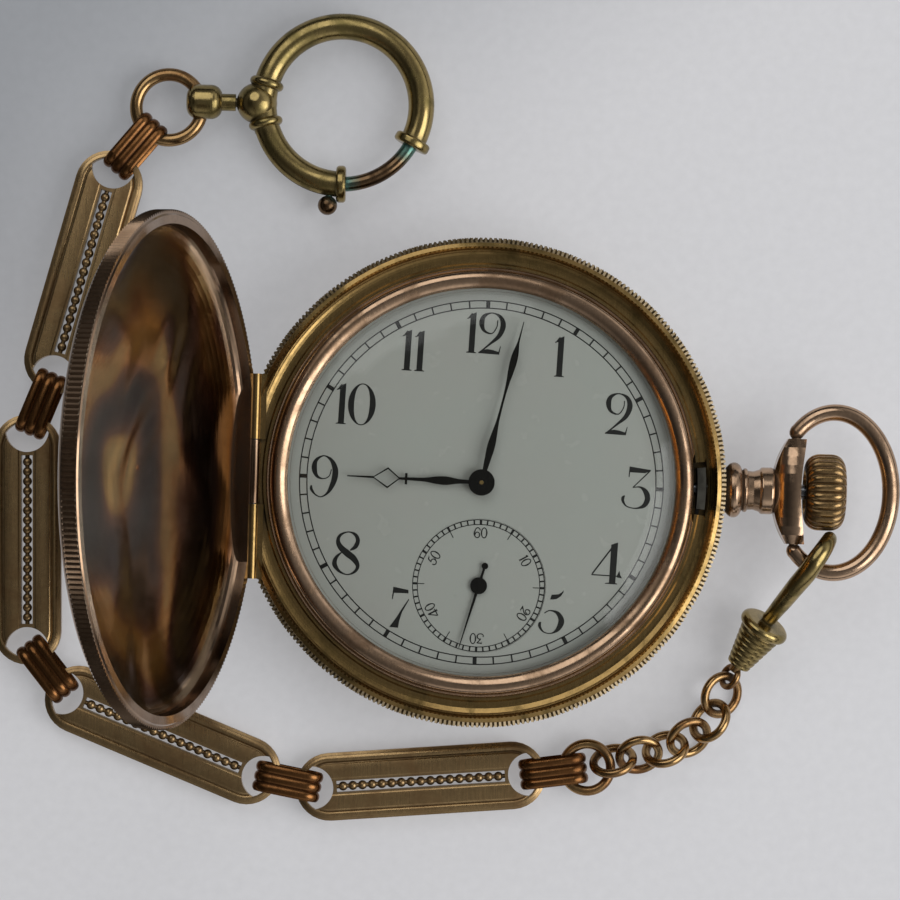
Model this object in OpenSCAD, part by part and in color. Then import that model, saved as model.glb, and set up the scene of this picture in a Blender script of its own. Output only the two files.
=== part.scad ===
// Full hunter pocket watch with its guard chain, lying on its back with the front lid open.
// Millimetres. The origin is the centre of the back lid's flat rest face, +Z is up,
// +X points to the crown at 3 o'clock and +Y to 12 o'clock.

/* [Case] */
// Diameter over the reeded edge of the case
case_d = 52; // [51:0.5:54]
// Height of the case centre between the two lids
centre_h = 6.5; // [6.3:0.1:7]
// Height of the closed front lid above the centre
lid_h = 4.5; // [4.3:0.1:5.5]
// Height of the back lid below the centre
back_h = 4; // [3.8:0.1:5]
// Thickness of the lids' metal
wall = 0.6; // [0.5:0.05:0.8]
// Width of the flat flange round each lid
flange_w = 1.4; // [1.2:0.1:1.6]
// Width of the rim from the bezel out to the reeded edge
rim_w = 3.55; // [3.45:0.05:3.65]
// Diameter of the flat that the back rests on
rest_d = 30; // [24:1:34]
// Number of teeth in the coin edge
reeds = 300; // [240:20:320]
// Depth of the coin edge's teeth
reed_depth = 0.26; // [0.2:0.02:0.34]
// Gap between the lids and the centre when shut
lid_gap = 0.05; // [0.03:0.01:0.1]

/* [Hinges] */
// Length of the hinge tubes
hinge_len = 21.8; // [20:0.2:22.6]
// Outer diameter of the hinge tubes
hinge_d = 1.06; // [1:0.02:1.2]
// Diameter of the hinge pins
hinge_pin_d = 0.56; // [0.4:0.02:0.6]
// Radial running clearance round pins and shafts
run_gap = 0.03; // [0.02:0.01:0.06]
// How far the front lid stands open
lid_open = 106.5; // [95:0.5:110]

/* [Dial and hands] */
// Thickness of the dial plate
dial_t = 0.4; // [0.3:0.05:0.5]
// Diameter of the sunk seconds dial
sub_d = 14.3; // [13:0.1:15]
// Distance of the seconds dial's centre from the dial's centre
sub_y = 10.95; // [10.6:0.05:11.2]
// Depth to which the seconds dial is sunk
sub_sink = 0.16; // [0.1:0.02:0.2]
// Length of the hour hand from its centre
hour_len = 14.3; // [12:0.1:15]
// Length of the minute hand from its centre
minute_len = 17.7; // [16:0.1:18.4]
// Length of the seconds hand from its centre
second_len = 6.9; // [6:0.1:7]
// Thickness of the hands
hand_t = 0.14; // [0.1:0.02:0.2]
// Width of the bezel from its rim to the crystal
bezel_w = 1.35; // [1.25:0.05:1.4]
// Height of the crystal's dome
crystal_h = 1.9; // [1.6:0.1:2]

/* [Pendant and bow] */
// Diameter of the bead at the pendant's root
root_d = 5.8; // [5:0.1:6]
// Diameter of the pendant's neck
neck_d = 4.2; // [4:0.1:4.6]
// Span of the pendant's head over its two ears
ear_span = 11.2; // [11:0.1:11.6]
// Diameter of the crown
crown_d = 8.2; // [7.6:0.1:8.4]
// Length of the crown
crown_len = 4.3; // [4:0.1:4.6]
// Number of flutes round the crown
flutes = 24; // [20:1:28]
// Diameter of the winding stem
stem_d = 1.6; // [1.3:0.1:1.7]
// Length of the bow along the stem, to the middle of its wire
bow_a = 6.1; // [5.6:0.1:6.6]
// Half width of the bow to the middle of its wire
bow_b = 8.55; // [8.45:0.05:8.9]
// Thickness of the bow's wire
bow_wire = 1.9; // [1.7:0.1:2]

/* [Movement] */
// Thickness of the mainplate
mainplate_t = 2.7; // [2.5:0.1:2.8]
// Thickness of the bridges
bridge_t = 1; // [0.8:0.1:1.1]
// Tooth module of the going train
train_m = 0.16; // [0.156:0.002:0.16]
// Diameter of the balance wheel
balance_d = 14; // [12:0.2:14.2]

/* [Chain] */
// Length of one plate link
plate_len = 27; // [26.8:0.1:27.2]
// Width of one plate link
plate_w = 7.3; // [7:0.1:7.6]
// Thickness of one plate link
plate_t = 1.3; // [1.1:0.1:1.5]
// Diameter of the beads along a plate link
bead_d = 1; // [0.8:0.05:1.1]
// Plain length between a plate link's end and its beads
bead_rest = 4.575; // [4.5:0.025:4.7]
// Number of beads on a plate link
beads = 17; // [13:2:17]
// Length of a banded connector
band_len = 7.4; // [7.2:0.1:7.6]
// Width of a banded connector
band_w = 3.2; // [3:0.1:3.3]
// Thickness of a connector's band
band_t = 0.45; // [0.4:0.05:0.5]
// Diameter of a small ring to the middle of its wire
ring_d = 4.3; // [4.2:0.1:4.4]
// Wire of the small rings
ring_wire = 0.95; // [0.8:0.05:1]
// Wire of the end ring
end_wire = 1.4; // [1.2:0.1:1.5]
// Diameter of the bolt ring to the middle of its tube
bolt_d = 17; // [16.6:0.1:17.4]
// Diameter of the bolt ring's tube
bolt_tube = 2.8; // [2.6:0.1:2.9]
// Diameter of the sliding bolt
bolt_wire = 1.6; // [1.4:0.05:1.7]
// Diameter of the swivel barrel's head
barrel_d = 5.5; // [5:0.1:5.6]
// Length of the swivel barrel
barrel_len = 5.9; // [5.4:0.1:6]

/* [Hidden] */
$fn = 64;

// Colours
gold = "#b08a5e";
rose = "#c49a78";
olive = "#8a7a45";
bronze = "#7a5a3c";
steel = "#4a5058";
brass = "#b8a060";
nickel = "#b9b9b4";
enamel = "#e8e8e0";
ink = "#181818";

// Heights
case_r = case_d / 2;
centre_z = back_h;
centre_top = centre_z + centre_h;
mid_z = centre_z + centre_h / 2;
dial_z = centre_top - 1.2;
bezel_z = dial_z + 0.05;
plate_top = dial_z - dial_t;
plate_z = plate_top - mainplate_t;
bridge_z = plate_z - 2.45 - bridge_t;
train_z = bridge_z + bridge_t;

// Diameters that follow from the case's
bezel_d = case_d - 2 * rim_w;
bezel_in = bezel_d - 2 * bezel_w;
dial_d = bezel_in + 0.2;
plate_d = dial_d - 0.8;

// Case rings, as radii
reed_r = case_r - reed_depth;
skin_r = case_r - 0.4;
shell_in = case_r - flange_w;
bezel_r = bezel_d / 2;
well_r = bezel_r + 0.15;
seat_r = dial_d / 2 + 0.4;
plate_r = plate_d / 2;
inner_r = plate_r + 0.15;
cuvette_r = case_r - 2.9;
rest_r = rest_d / 2;

// Hinges
hinge_x = -(case_r - 1.9);
chord_x = hinge_x + hinge_d / 2 + 0.12;
knuckle_gap = 0.06;
front_cut = [-2.9, 3.9];
back_cut = [-7.6, -2.5, 2.5, 7.6];

// Stem, pendant and bow, as places along X
root_x = case_r - 0.25;
collar_x = root_x + 3.9;
head_x = collar_x + 3.1;
crown_x = head_x + 1.7;
bow_x = head_x + 4.85;
ear_x = head_x + 0.7;
chain_x = bow_x - 37.6;

// Movement, as places in plan
barrel_m = 0.2;
barrel_at = 9.8 * [cos(75), sin(75)];
centre_n = 80;
third_n = 75;
fourth_n = 80;
pinion_n = 10;
fourth_m = 0.13;
escape_pinion_n = 8;
barrel_n = 84;
centre_pinion_n = 14;
fourth_at = [0, -sub_y];
third_d1 = train_m * (centre_n + pinion_n) / 2;
third_d2 = train_m * (third_n + pinion_n) / 2;
third_y = -(third_d1 * third_d1 - third_d2 * third_d2 + sub_y * sub_y) / (2 * sub_y);
third_at = [sqrt(third_d1 * third_d1 - third_y * third_y), third_y];
escape_at = fourth_at + fourth_m * (fourth_n + escape_pinion_n) / 2 * [cos(200), sin(200)];
balance_at = [-11.5, -6];
pallet_at = escape_at + 0.42 * (balance_at - escape_at);
pallet_dir = atan2(balance_at[1] - escape_at[1], balance_at[0] - escape_at[0]);
cock_foot = [-10.3, -15.4];
motion_m = 0.16;
minute_wheel_at = motion_m * 20 * [cos(36), sin(36)];

// Levels of the wheels above the bridges
barrel_lift = 0.15;
fourth_lift = 0.55;
third_lift = 1.2;
escape_lift = 1.5;
centre_lift = 1.95;

// Hands at two minutes past nine
hour_angle = 178.7;
minute_angle = 76.8;
second_angle = -106.2;

// Chain lying on the surface: middle height, ring places, tilts and plate places with their headings
band_inside = 2.4;
chain_z = band_t + band_inside / 2;
rings = [for (p = [[26.6, -22.1], [25.4, -24.9], [23.2, -26.8], [20.7, -28.1], [17.9, -28.8],
    [15.1, -29.5], [12.3, -30.3]]) p + [chain_x, 0]];
tilts = [-35, 50, -40, 50, -40, 55, 0];
jump_d = 5.1;
jump_wire = 1.05;
plate_lies = [[-5.6, -32.3, 185.2], [-33.6, -28.1, 158.7], [-48.8, -7.4, 91.6], [-43.55, 21.65, 75.4]];
bead_pitch = (plate_len - 2 * bead_rest) / beads;
// Longer plates push what follows them along the chain
longer = plate_len - 27;
function pushed(i) = i < 0 ? [chain_x, 0] : pushed(i - 1) + longer * [cos(plate_lies[i][2]), sin(plate_lies[i][2])];
plates = [for (i = [0:3]) let (p = (pushed(i - 1) + pushed(i)) / 2) plate_lies[i] + [p[0], p[1], 0]];
end_at = pushed(3) + [-34.8, 39.7];
end_r = 3.55;
bolt_at = pushed(3) + [-16.05, 40.35];
bolt_z = 2.45;
bead_r = 1.85;
bead_at = end_at[0] + end_r + 0.3;
bolt_r = bolt_d / 2;
gate_from = -28;
gate_to = -91;
knob_at = -97;
hook_from = [chain_x + 31.1, -14, 4.6];
barrel_dir = [-0.5, -0.84, -0.4];
hole_in = 2.35;
plate_hole = plate_len / 2 - hole_in;

// The frame that turns +Z onto the swivel barrel's axis
barrel_w = unit(barrel_dir);
barrel_u = unit(cross([0, 0, 1], barrel_w));
barrel_v = cross(barrel_w, barrel_u);
barrel_frame = [[barrel_u[0], barrel_v[0], barrel_w[0], 0], [barrel_u[1], barrel_v[1], barrel_w[1], 0],
    [barrel_u[2], barrel_v[2], barrel_w[2], 0], [0, 0, 0, 1]];

eye_at = hook_from + (barrel_len + 1.75) * barrel_w;
eye_r = 1.15;
places = concat([[eye_at[0], eye_at[1]]], rings, [seat(0, -1)]);

// Directions from wheel to wheel, for teeth in mesh
to_barrel = atan2(barrel_at[1], barrel_at[0]);
to_third = atan2(third_at[1], third_at[0]);
to_fourth = atan2(fourth_at[1] - third_at[1], fourth_at[0] - third_at[0]);
to_escape = 200;
to_minute = 36;
to_crown_wheel = -31;

// Points on an arc
function arc(c, r, a, b, n) = [for (i = [0:n]) c + r * [cos(a + (b - a) * i / n),
    sin(a + (b - a) * i / n)]];
// Points on a quarter of an ellipse that starts level and ends upright, or the other way
function bowl(x, z, a, b, n) = [for (i = [0:n]) [x + a * sin(90 * i / n), z + b * (1 - cos(90 * i / n))]];
function unit(v) = v / norm(v);
function fore(p, d) = [p[0] + d * cos(p[2]), p[1] + d * sin(p[2])];
function seat(i, side) = fore(plates[i], side * plate_hole);

// A wheel's outline with plain teeth, its tooth 0 on the angle given
module toothed(n, m, tip = 0.75, root = 1, at = 0, thick = 0.46) {
    r = n * m / 2;
    half = 180 / n * thick;
    polygon([for (i = [0:n - 1]) for (k = [[-1.3, -root], [-0.55, tip], [0.55, tip], [1.3, -root]])
        (r + k[1] * m) * [cos(at + 360 * i / n + k[0] * half), sin(at + 360 * i / n + k[0] * half)]]);
}

// A wheel with teeth, a rim, arms and a hub
module wheel(n, m, t, arms = 4, hub = 0.9, at = 0) {
    r = n * m / 2;
    linear_extrude(t) difference() {
        toothed(n, m, at = at);
        difference() {
            circle(r * 0.8);
            circle(hub);
            for (i = [0:arms - 1]) rotate(360 * i / arms) translate([0, -r * 0.05]) square([r, r * 0.1]);
        }
    }
}

// A ring of round wire round the Z axis
module wire_ring(r, wire) {
    rotate_extrude($fn = 96) translate([r, 0]) circle(wire / 2, $fn = 32);
}

// A tube of the given radii along the given points
module sweep(points, radii, sides = 10) {
    n = len(points);
    tangents = [for (i = [0:n - 1]) unit(points[min(i + 1, n - 1)] - points[max(i - 1, 0)])];
    rings_at = [for (i = [0:n - 1])
        let (side = unit(cross(tangents[i], [0, 0, 1])), up = cross(side, tangents[i]))
        for (k = [0:sides - 1])
            points[i] + radii[i] * (cos(360 * k / sides) * side + sin(360 * k / sides) * up)];
    ends = [points[0], points[n - 1]];
    last = n * sides;
    polyhedron(concat(rings_at, ends), concat(
        [for (i = [0:n - 2]) for (k = [0:sides - 1]) let (j = (k + 1) % sides, a = i * sides, b = a + sides)
            [a + k, a + j, b + j]],
        [for (i = [0:n - 2]) for (k = [0:sides - 1]) let (j = (k + 1) % sides, a = i * sides, b = a + sides)
            [a + k, b + j, b + k]],
        [for (k = [0:sides - 1]) [last, (k + 1) % sides, k]],
        [for (k = [0:sides - 1]) [last + 1, last - sides + k, last - sides + (k + 1) % sides]]));
}

// Turns the children about the front hinge, from shut to open
module opened() {
    translate([hinge_x, 0, centre_top]) rotate([0, -lid_open, 0]) translate([-hinge_x, 0, -centre_top])
        children();
}

// A hinge tube between two places along Y, with a web that carries it
module knuckle(z, from, to, web_low, web_high, web_in) {
    difference() {
        union() {
            translate([hinge_x, from + knuckle_gap, z]) rotate([-90, 0, 0])
                cylinder(h = to - from - 2 * knuckle_gap, d = hinge_d, $fn = 32);
            translate([hinge_x, from + knuckle_gap, z + web_low])
                cube([web_in, to - from - 2 * knuckle_gap, web_high - web_low]);
        }
        hinge_bore(z);
    }
}

module hinge_bore(z) {
    translate([hinge_x, -hinge_len / 2 - 1, z]) rotate([-90, 0, 0])
        cylinder(h = hinge_len + 2, d = hinge_pin_d + 2 * run_gap, $fn = 32);
}

// The coin edge between two heights, as a toothed ring
module coin_edge(z0, z1) {
    translate([0, 0, z0]) linear_extrude(z1 - z0) difference() {
        polygon([for (i = [0:reeds - 1]) for (k = [[0, 0], [0.5, reed_depth]])
            (reed_r + k[1]) * [cos(360 * (i + k[0]) / reeds), sin(360 * (i + k[0]) / reeds)]]);
        circle(shell_in + 0.3, $fn = 128);
    }
}

// What is cut away on the chord beside a hinge tube
module chord_cut(z0, z1, x = chord_x) {
    half = hinge_len / 2 + 0.2;
    translate([-case_r - 1, -half, z0]) cube([x + case_r + 1, 2 * half, z1 - z0]);
}

// The flat wall that closes a lid behind its hinge: the children are the lid without its hollow
module chord_wall(z0, z1) {
    half = hinge_len / 2 + 0.4;
    intersection() {
        children();
        translate([chord_x, -half, z0]) cube([wall, 2 * half, z1 - z0]);
    }
}

module case_centre() {
    color(gold) difference() {
        union() {
            rotate_extrude($fn = 128) polygon(concat(
                [[inner_r, centre_z + lid_gap], [skin_r - 0.6, centre_z + lid_gap],
                    [skin_r, centre_z + 0.7], [skin_r, centre_top - 0.7], [skin_r - 0.2, centre_top - 0.2],
                    [skin_r - 0.6, centre_top]],
                arc([skin_r - 1.96, centre_top + 0.85], 1.6, -32, -88, 6),
                [[skin_r - 2.3, centre_top - 0.75],
                    [skin_r - 2.5, centre_top - 0.35], [well_r + 0.2, centre_top - 0.35],
                    [well_r, centre_top - 0.6], [well_r, bezel_z - 0.05], [seat_r, bezel_z - 0.05],
                    [seat_r, plate_top - 0.7],
                    [inner_r, plate_top - 0.7]]));
            coin_edge(centre_z + 0.7, centre_top - 0.7);
        }
        chord_cut(centre_top - 1.1, centre_top + 1);
        chord_cut(centre_z - 1, centre_z + 1.1);
        translate([0, 0, mid_z]) rotate([0, 90, 0]) cylinder(h = case_r + 2, d = stem_d + 4 * run_gap + 0.5);
        lock_pocket();
    }
    color(gold) {
        knuckle(centre_top, -hinge_len / 2, front_cut[0], -0.9, -0.12, 1.1);
        knuckle(centre_top, front_cut[1], hinge_len / 2, -0.9, -0.12, 1.1);
        knuckle(centre_z, -hinge_len / 2, back_cut[0], 0.12, 0.9, 1.1);
        knuckle(centre_z, back_cut[3], hinge_len / 2, 0.12, 0.9, 1.1);
    }
}

// The lock spring lies in a groove inside the wall at 3 o'clock; its beak stands in a slot
lock_in = bezel_r + 0.4;
lock_t = 0.5;
lock_out = lock_in + lock_t;
lock_z = mid_z + 1.05;
lock_travel = 0.3;
lock_turn = 42;
beak_turn = 5.4;
module lock_pocket() {
    rotate([0, 0, -lock_turn - 1.5]) rotate_extrude(angle = lock_turn + beak_turn + 3, $fn = 128)
        translate([lock_in - lock_travel, lock_z - 0.15]) square([lock_t + 2 * lock_travel, 1.05]);
    rotate([0, 0, -beak_turn - 1.5]) rotate_extrude(angle = 2 * beak_turn + 3, $fn = 128)
        translate([lock_in - lock_travel, lock_z - 0.15]) square([lock_t + lock_travel + 0.6, 5]);
}

module lock_spring() {
    color(steel) {
        rotate([0, 0, -lock_turn]) rotate_extrude(angle = lock_turn - beak_turn + 0.5, $fn = 128)
            translate([lock_in + 0.08, lock_z + 0.1]) square([lock_t - 0.16, 0.6]);
        rotate([0, 0, -beak_turn]) rotate_extrude(angle = 2 * beak_turn, $fn = 128)
            polygon([[lock_in, lock_z], [lock_out, lock_z], [lock_out, centre_top - 0.15],
                [lock_out + 0.45, centre_top], [lock_out + 0.4, centre_top + 0.2], [lock_in, centre_top + 0.4]]);
    }
}

module front_lid() {
    base = centre_top + lid_gap;
    tier = base + 1.6;
    rise = lid_h - 1.6 - lid_gap;
    dome = 1.1;
    outer = [for (i = [0:20]) let (a = 90 * i / 20)
        [skin_r * pow(sin(a), 1 / dome), tier + rise * cos(a)]];
    inner = [for (i = [20:-1:0]) let (a = 90 * i / 20)
        [shell_in * pow(sin(a), 1 / dome), tier - wall + rise * cos(a)]];
    color(rose) opened() {
        difference() {
            union() {
                rotate_extrude($fn = 128) polygon(concat(outer, [[skin_r, base + 0.15],
                    [skin_r - 0.15, base], [shell_in, base]], inner));
                coin_edge(base + 0.15, tier);
                chord_wall(base, tier + lid_h) rotate_extrude($fn = 128)
                    polygon(concat(outer, [[skin_r, base], [0, base]]));
            }
            chord_cut(base - 1, tier + lid_h);
        }
        knuckle(centre_top, front_cut[0], front_cut[1], 0.12, 0.95, 1.15);
    }
}

module back_lid() {
    top = centre_z;
    tier = top - 1.6;
    outer = bowl(rest_r, 0, skin_r - rest_r, tier, 10);
    inner = bowl(rest_r - 0.2, wall, shell_in - rest_r + 0.2, tier - wall + 0.4, 10);
    color(gold) {
        difference() {
            union() {
                rotate_extrude($fn = 128) polygon(concat([[0, wall], [0, 0]], outer,
                    [[skin_r, top - 0.15], [skin_r - 0.15, top], [shell_in, top]],
                    [for (i = [10:-1:0]) inner[i]]));
                coin_edge(tier, top - 0.15);
                chord_wall(tier - 1, top - 0.1) rotate_extrude($fn = 128)
                    polygon(concat([[0, top], [0, 0]], outer, [[skin_r, top]]));
            }
            chord_cut(tier - 0.8, top + 1);
            translate([hinge_x - 2, back_cut[1] - 0.1, top - 0.75])
                cube([3.6, back_cut[2] - back_cut[1] + 0.2, 2]);
        }
        knuckle(top, back_cut[0], back_cut[1], -1.1, -0.12, 1.15);
        knuckle(top, back_cut[2], back_cut[3], -1.1, -0.12, 1.15);
    }
}

module cuvette() {
    top = centre_z - 0.06;
    low = wall + 0.7;
    skin = 0.4;
    outer = bowl(rest_r, low, cuvette_r - 0.7 - rest_r, top - 0.7 - low, 10);
    inner = bowl(rest_r, low + skin, cuvette_r - 1.2 - rest_r, top - 0.7 - low, 10);
    color(gold) {
        difference() {
            rotate_extrude($fn = 128) polygon(concat([[0, low + skin], [0, low]], outer,
                [[cuvette_r, top - 0.6], [cuvette_r, top], [inner_r + 0.4, top],
                    [cuvette_r - 1.2, top - 0.25]],
                [for (i = [10:-1:0]) inner[i]]));
            chord_cut(0, top + 1, chord_x + wall + 0.2);
        }
        knuckle(centre_z, back_cut[1], back_cut[2], -0.55, -0.12, 2);
    }
}

module bezel() {
    color(rose) rotate_extrude($fn = 128) polygon([[bezel_in / 2, bezel_z], [bezel_r, bezel_z],
        [bezel_r, centre_top + 0.45], [bezel_r - 0.2, centre_top + 0.8], [bezel_r - 0.6, centre_top + 1],
        [bezel_r - 1.1, centre_top + 0.9], [bezel_in / 2, centre_top + 0.25],
        [bezel_in / 2, bezel_z + 1.2], [bezel_in / 2 + 0.6, bezel_z + 1.2],
        [bezel_in / 2 + 0.6, bezel_z + 0.6], [bezel_in / 2, bezel_z + 0.6]]);
}

module crystal() {
    rim = bezel_z + 0.64;
    edge = bezel_in / 2 - 0.25;
    outer = [for (i = [0:14]) let (a = 90 * i / 14) [edge * pow(sin(a), 0.8), rim + 0.5 + crystal_h * cos(a)]];
    inner = [for (i = [14:-1:0]) let (a = 90 * i / 14)
        [(edge - 0.5) * pow(sin(a), 0.8), rim + (crystal_h - 0.1) * cos(a)]];
    color([0.85, 0.9, 0.92, 0.3]) rotate_extrude($fn = 128) polygon(concat(outer,
        [[bezel_in / 2 + 0.5, rim + 0.5], [bezel_in / 2 + 0.5, rim]], inner));
}

module front_hinge_pin() {
    color(steel) translate([hinge_x, -hinge_len / 2 + 0.1, centre_top]) rotate([-90, 0, 0])
        cylinder(h = hinge_len - 0.2, d = hinge_pin_d, $fn = 32);
}

module back_hinge_pin() {
    color(steel) translate([hinge_x, -hinge_len / 2 + 0.1, centre_z]) rotate([-90, 0, 0])
        cylinder(h = hinge_len - 0.2, d = hinge_pin_d, $fn = 32);
}

// Turned round the stem's axis
module turned(points, segments = 96) {
    translate([0, 0, mid_z]) rotate([0, 90, 0]) rotate_extrude($fn = segments) polygon(points);
}

// The stem's own hole through pendant and centre
stem_hole = stem_d / 2 + run_gap;

// The yoke at the pendant's head, a crescent whose horns carry the bow
module yoke_outline() {
    half = ear_span / 2;
    low = [for (i = [-8:8]) let (y = i / 8) [-2.5 + 1.6 * pow(abs(y), 2.2), half * y]];
    high = [for (i = [8:-1:-8]) let (y = i / 8) [0.42 + 0.62 * pow(abs(y), 1.6), half * y]];
    polygon(concat(low, high));
}
module pendant() {
    root_r = root_d / 2;
    neck_r = neck_d / 2;
    color(rose) difference() {
        union() {
            turned(concat([[stem_hole, root_x - 1.2], [stem_d / 2 + 0.25, root_x - 1.2],
                [stem_d / 2 + 0.25, root_x + 0.3], [root_r - 0.5, root_x + 0.3]],
                arc([root_r - 0.75, root_x + 1.15], 0.8, -60, 75, 8),
                [[neck_r, root_x + 2.1]], arc([neck_r, root_x + 2.35], 0.25, -90, 90, 6),
                [[neck_r - 0.05, root_x + 3.2], [neck_r + 0.15, collar_x - 0.05]],
                arc([neck_r + 0.1, collar_x + 0.3], 0.3, -60, 0, 3), arc([neck_r + 0.1, collar_x + 1.2], 0.3, 0, 80, 3),
                [[stem_hole, collar_x + 1.5]]));
            translate([ear_x, 0, mid_z]) intersection() {
                translate([0, 0, -3.5]) linear_extrude(7) yoke_outline();
                rotate([90, 0, 0]) rotate_extrude($fn = 96) polygon(concat([[0, ear_span / 2], [0, -ear_span / 2]],
                    [for (i = [0:12]) let (y = -1 + i / 6) [1.3 + 1.5 * sqrt(1 - 0.99 * y * y), ear_span / 2 * y]]));
            }
        }
        translate([0, 0, mid_z]) rotate([0, 90, 0]) cylinder(h = 2 * case_r, r = stem_hole, $fn = 48);
        turned([[0, crown_x - 0.2], [crown_d / 2 - 1.5, crown_x - 0.2], [crown_d / 2 - 0.35, crown_x + 0.3],
            [crown_d / 2 + 0.25, crown_x + 1.4], [crown_d / 2 + 0.25, crown_x + 3], [0, crown_x + 3]]);
        for (s = [-1, 1]) translate([ear_x, s * (ear_span / 2 - 1.7), mid_z]) rotate([s * -90, 0, 0])
            cylinder(h = 3, d = 1 + 2 * run_gap, $fn = 32);
    }
}

function bow_point(a) = [bow_x + bow_a * cos(a), bow_b * sin(a), mid_z];
bow_stop = 180 - asin((ear_span / 2 + 0.7) / bow_b);
module bow() {
    turns = 40;
    route = [for (i = [0:turns]) bow_point(-bow_stop + 2 * bow_stop * i / turns)];
    gauge = [for (i = [0:turns]) bow_wire / 2 * (0.84 + 0.16 * pow(sin(180 * i / turns), 0.7))];
    foot = bow_point(bow_stop);
    color(rose) {
        sweep(route, gauge, 12);
        for (s = [-1, 1]) translate([ear_x, s * (ear_span / 2 - 1.5), mid_z]) {
            rotate([s * -90, 0, 0]) cylinder(h = 2.3, d = 1, $fn = 32);
            translate([foot[0] - ear_x, s * 2.34, 0]) sphere(r = 0.74, $fn = 32);
        }
    }
}

module crown() {
    r = crown_d / 2;
    color(olive) difference() {
        turned(concat([[0.65, crown_x + 1.2], [r - 1.9, crown_x + 1.2], [r - 1.7, crown_x]],
            arc([r - 1.5, crown_x + 1.5], 1.5, -90, 0, 7), arc([r - 1.5, crown_x + crown_len - 1.5], 1.5, 0, 80, 7),
            [[0.65, crown_x + crown_len]]));
        for (i = [0:flutes - 1]) translate([0, 0, mid_z]) rotate([360 * i / flutes, 0, 0])
            translate([crown_x - 1, 0, r + 0.12]) rotate([0, 90, 0])
                cylinder(h = crown_len + 2, r = 0.36, $fn = 16);
    }
}

// The arbor turns in the movement; the stem slides in it and carries the crown
arbor_x = 13.6;
square_w = 0.9;
module winding_stem() {
    color(steel) {
        translate([0, 0, mid_z]) rotate([0, 90, 0]) translate([0, 0, plate_r + 0.6])
            cylinder(h = crown_x + 1.2 - plate_r - 0.6, d = stem_d, $fn = 48);
        translate([0, 0, mid_z]) rotate([0, 90, 0]) translate([0, 0, crown_x + 1.1])
            cylinder(h = crown_len - 1.2, r = 0.65, $fn = 48);
        translate([arbor_x + 4, -square_w / 2, mid_z - square_w / 2])
            cube([plate_r + 0.7 - arbor_x - 4, square_w, square_w]);
    }
}

module winding_arbor() {
    color(steel) difference() {
        translate([arbor_x, 0, mid_z]) rotate([0, 90, 0]) {
            cylinder(h = 6.6, d = 1.7, $fn = 48);
            linear_extrude(1) toothed(12, 0.17, at = 6);
        }
        translate([arbor_x + 3, -square_w / 2 - 0.05, mid_z - square_w / 2 - 0.05])
            cube([5, square_w + 0.1, square_w + 0.1]);
    }
}

module dial() {
    color(enamel) difference() {
        translate([0, 0, dial_z - dial_t]) cylinder(h = dial_t, d = dial_d, $fn = 128);
        cylinder(h = 20, r = 1.3);
        translate([fourth_at[0], fourth_at[1], dial_z - sub_sink]) cylinder(h = 1, d = sub_d, $fn = 96);
        translate([fourth_at[0], fourth_at[1], 0]) cylinder(h = 20, r = 0.45);
    }
}

module spot(p, z = 0) {
    translate([p[0], p[1], z]) children();
}

module mainplate() {
    color(nickel) difference() {
        union() {
            translate([0, 0, plate_z]) cylinder(h = mainplate_t, r = plate_r, $fn = 128);
            translate([0, 0, plate_top - 0.65]) cylinder(h = 0.65, r = seat_r - 0.1, $fn = 128);
        }
        translate([0, 0, plate_top - 0.95]) cylinder(h = 2, r = 6.3);
        translate([0, 0, plate_z - 1]) cylinder(h = 5, r = 0.36, $fn = 32);
        spot(fourth_at, plate_z - 1) cylinder(h = 5, r = 0.24, $fn = 32);
        for (p = [third_at, escape_at, pallet_at, balance_at, barrel_at])
            spot(p, plate_z - 1) cylinder(h = 1.6, r = 0.22, $fn = 32);
        translate([arbor_x - 1.2, 0, mid_z]) rotate([0, 90, 0]) cylinder(h = 9, r = 0.9, $fn = 48);
        translate([arbor_x - 0.3, -1.6, plate_z - 1]) cube([1.6, 3.2, 3.35]);
    }
}

// Half plates under the train, with feet that reach the mainplate
module barrel_bridge() {
    color(nickel) difference() {
        union() {
            translate([0, 0, bridge_z]) linear_extrude(bridge_t) difference() {
                circle(plate_r - 0.1, $fn = 128);
                translate([-30, -31.5]) square([60, 30]);
                translate(balance_at) circle(balance_d / 2 + 1, $fn = 96);
                translate([fourth_at[0] - 30, -3]) square([22, 4.4]);
            }
            for (p = [[-14.5, 11.5], [16.8, 8.6], [-5, 18.9]]) spot(p, bridge_z + 0.2)
                cylinder(h = plate_z - bridge_z - 0.2, r = 1.1);
            translate([0, 0, bridge_z - 0.25]) spot(barrel_at) cylinder(h = 0.3, r = 0.9);
        }
        spot(barrel_at, bridge_z - 1) cylinder(h = 3, r = 0.5 + run_gap, $fn = 32);
        translate([0, 0, bridge_z - 1]) cylinder(h = 3, r = 0.25, $fn = 32);
    }
}

module train_bridge() {
    color(nickel) difference() {
        union() {
            translate([0, 0, bridge_z]) linear_extrude(bridge_t) difference() {
                circle(plate_r - 0.1, $fn = 128);
                translate([-30, -1.7]) square([60, 30]);
                translate(balance_at) circle(balance_d / 2 + 1, $fn = 96);
                translate([-30, -30]) square([22.5, 30]);
                translate([-30, -30]) square([24, 15]);
            }
            for (p = [[16.8, -8.6], [7.4, -17.6], [12.5, -4.2]]) spot(p, bridge_z + 0.2)
                cylinder(h = plate_z - bridge_z - 0.2, r = 1.1);
        }
        for (p = [third_at, fourth_at, escape_at]) spot(p, bridge_z - 1)
            cylinder(h = 3, r = 0.22, $fn = 32);
    }
}

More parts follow.
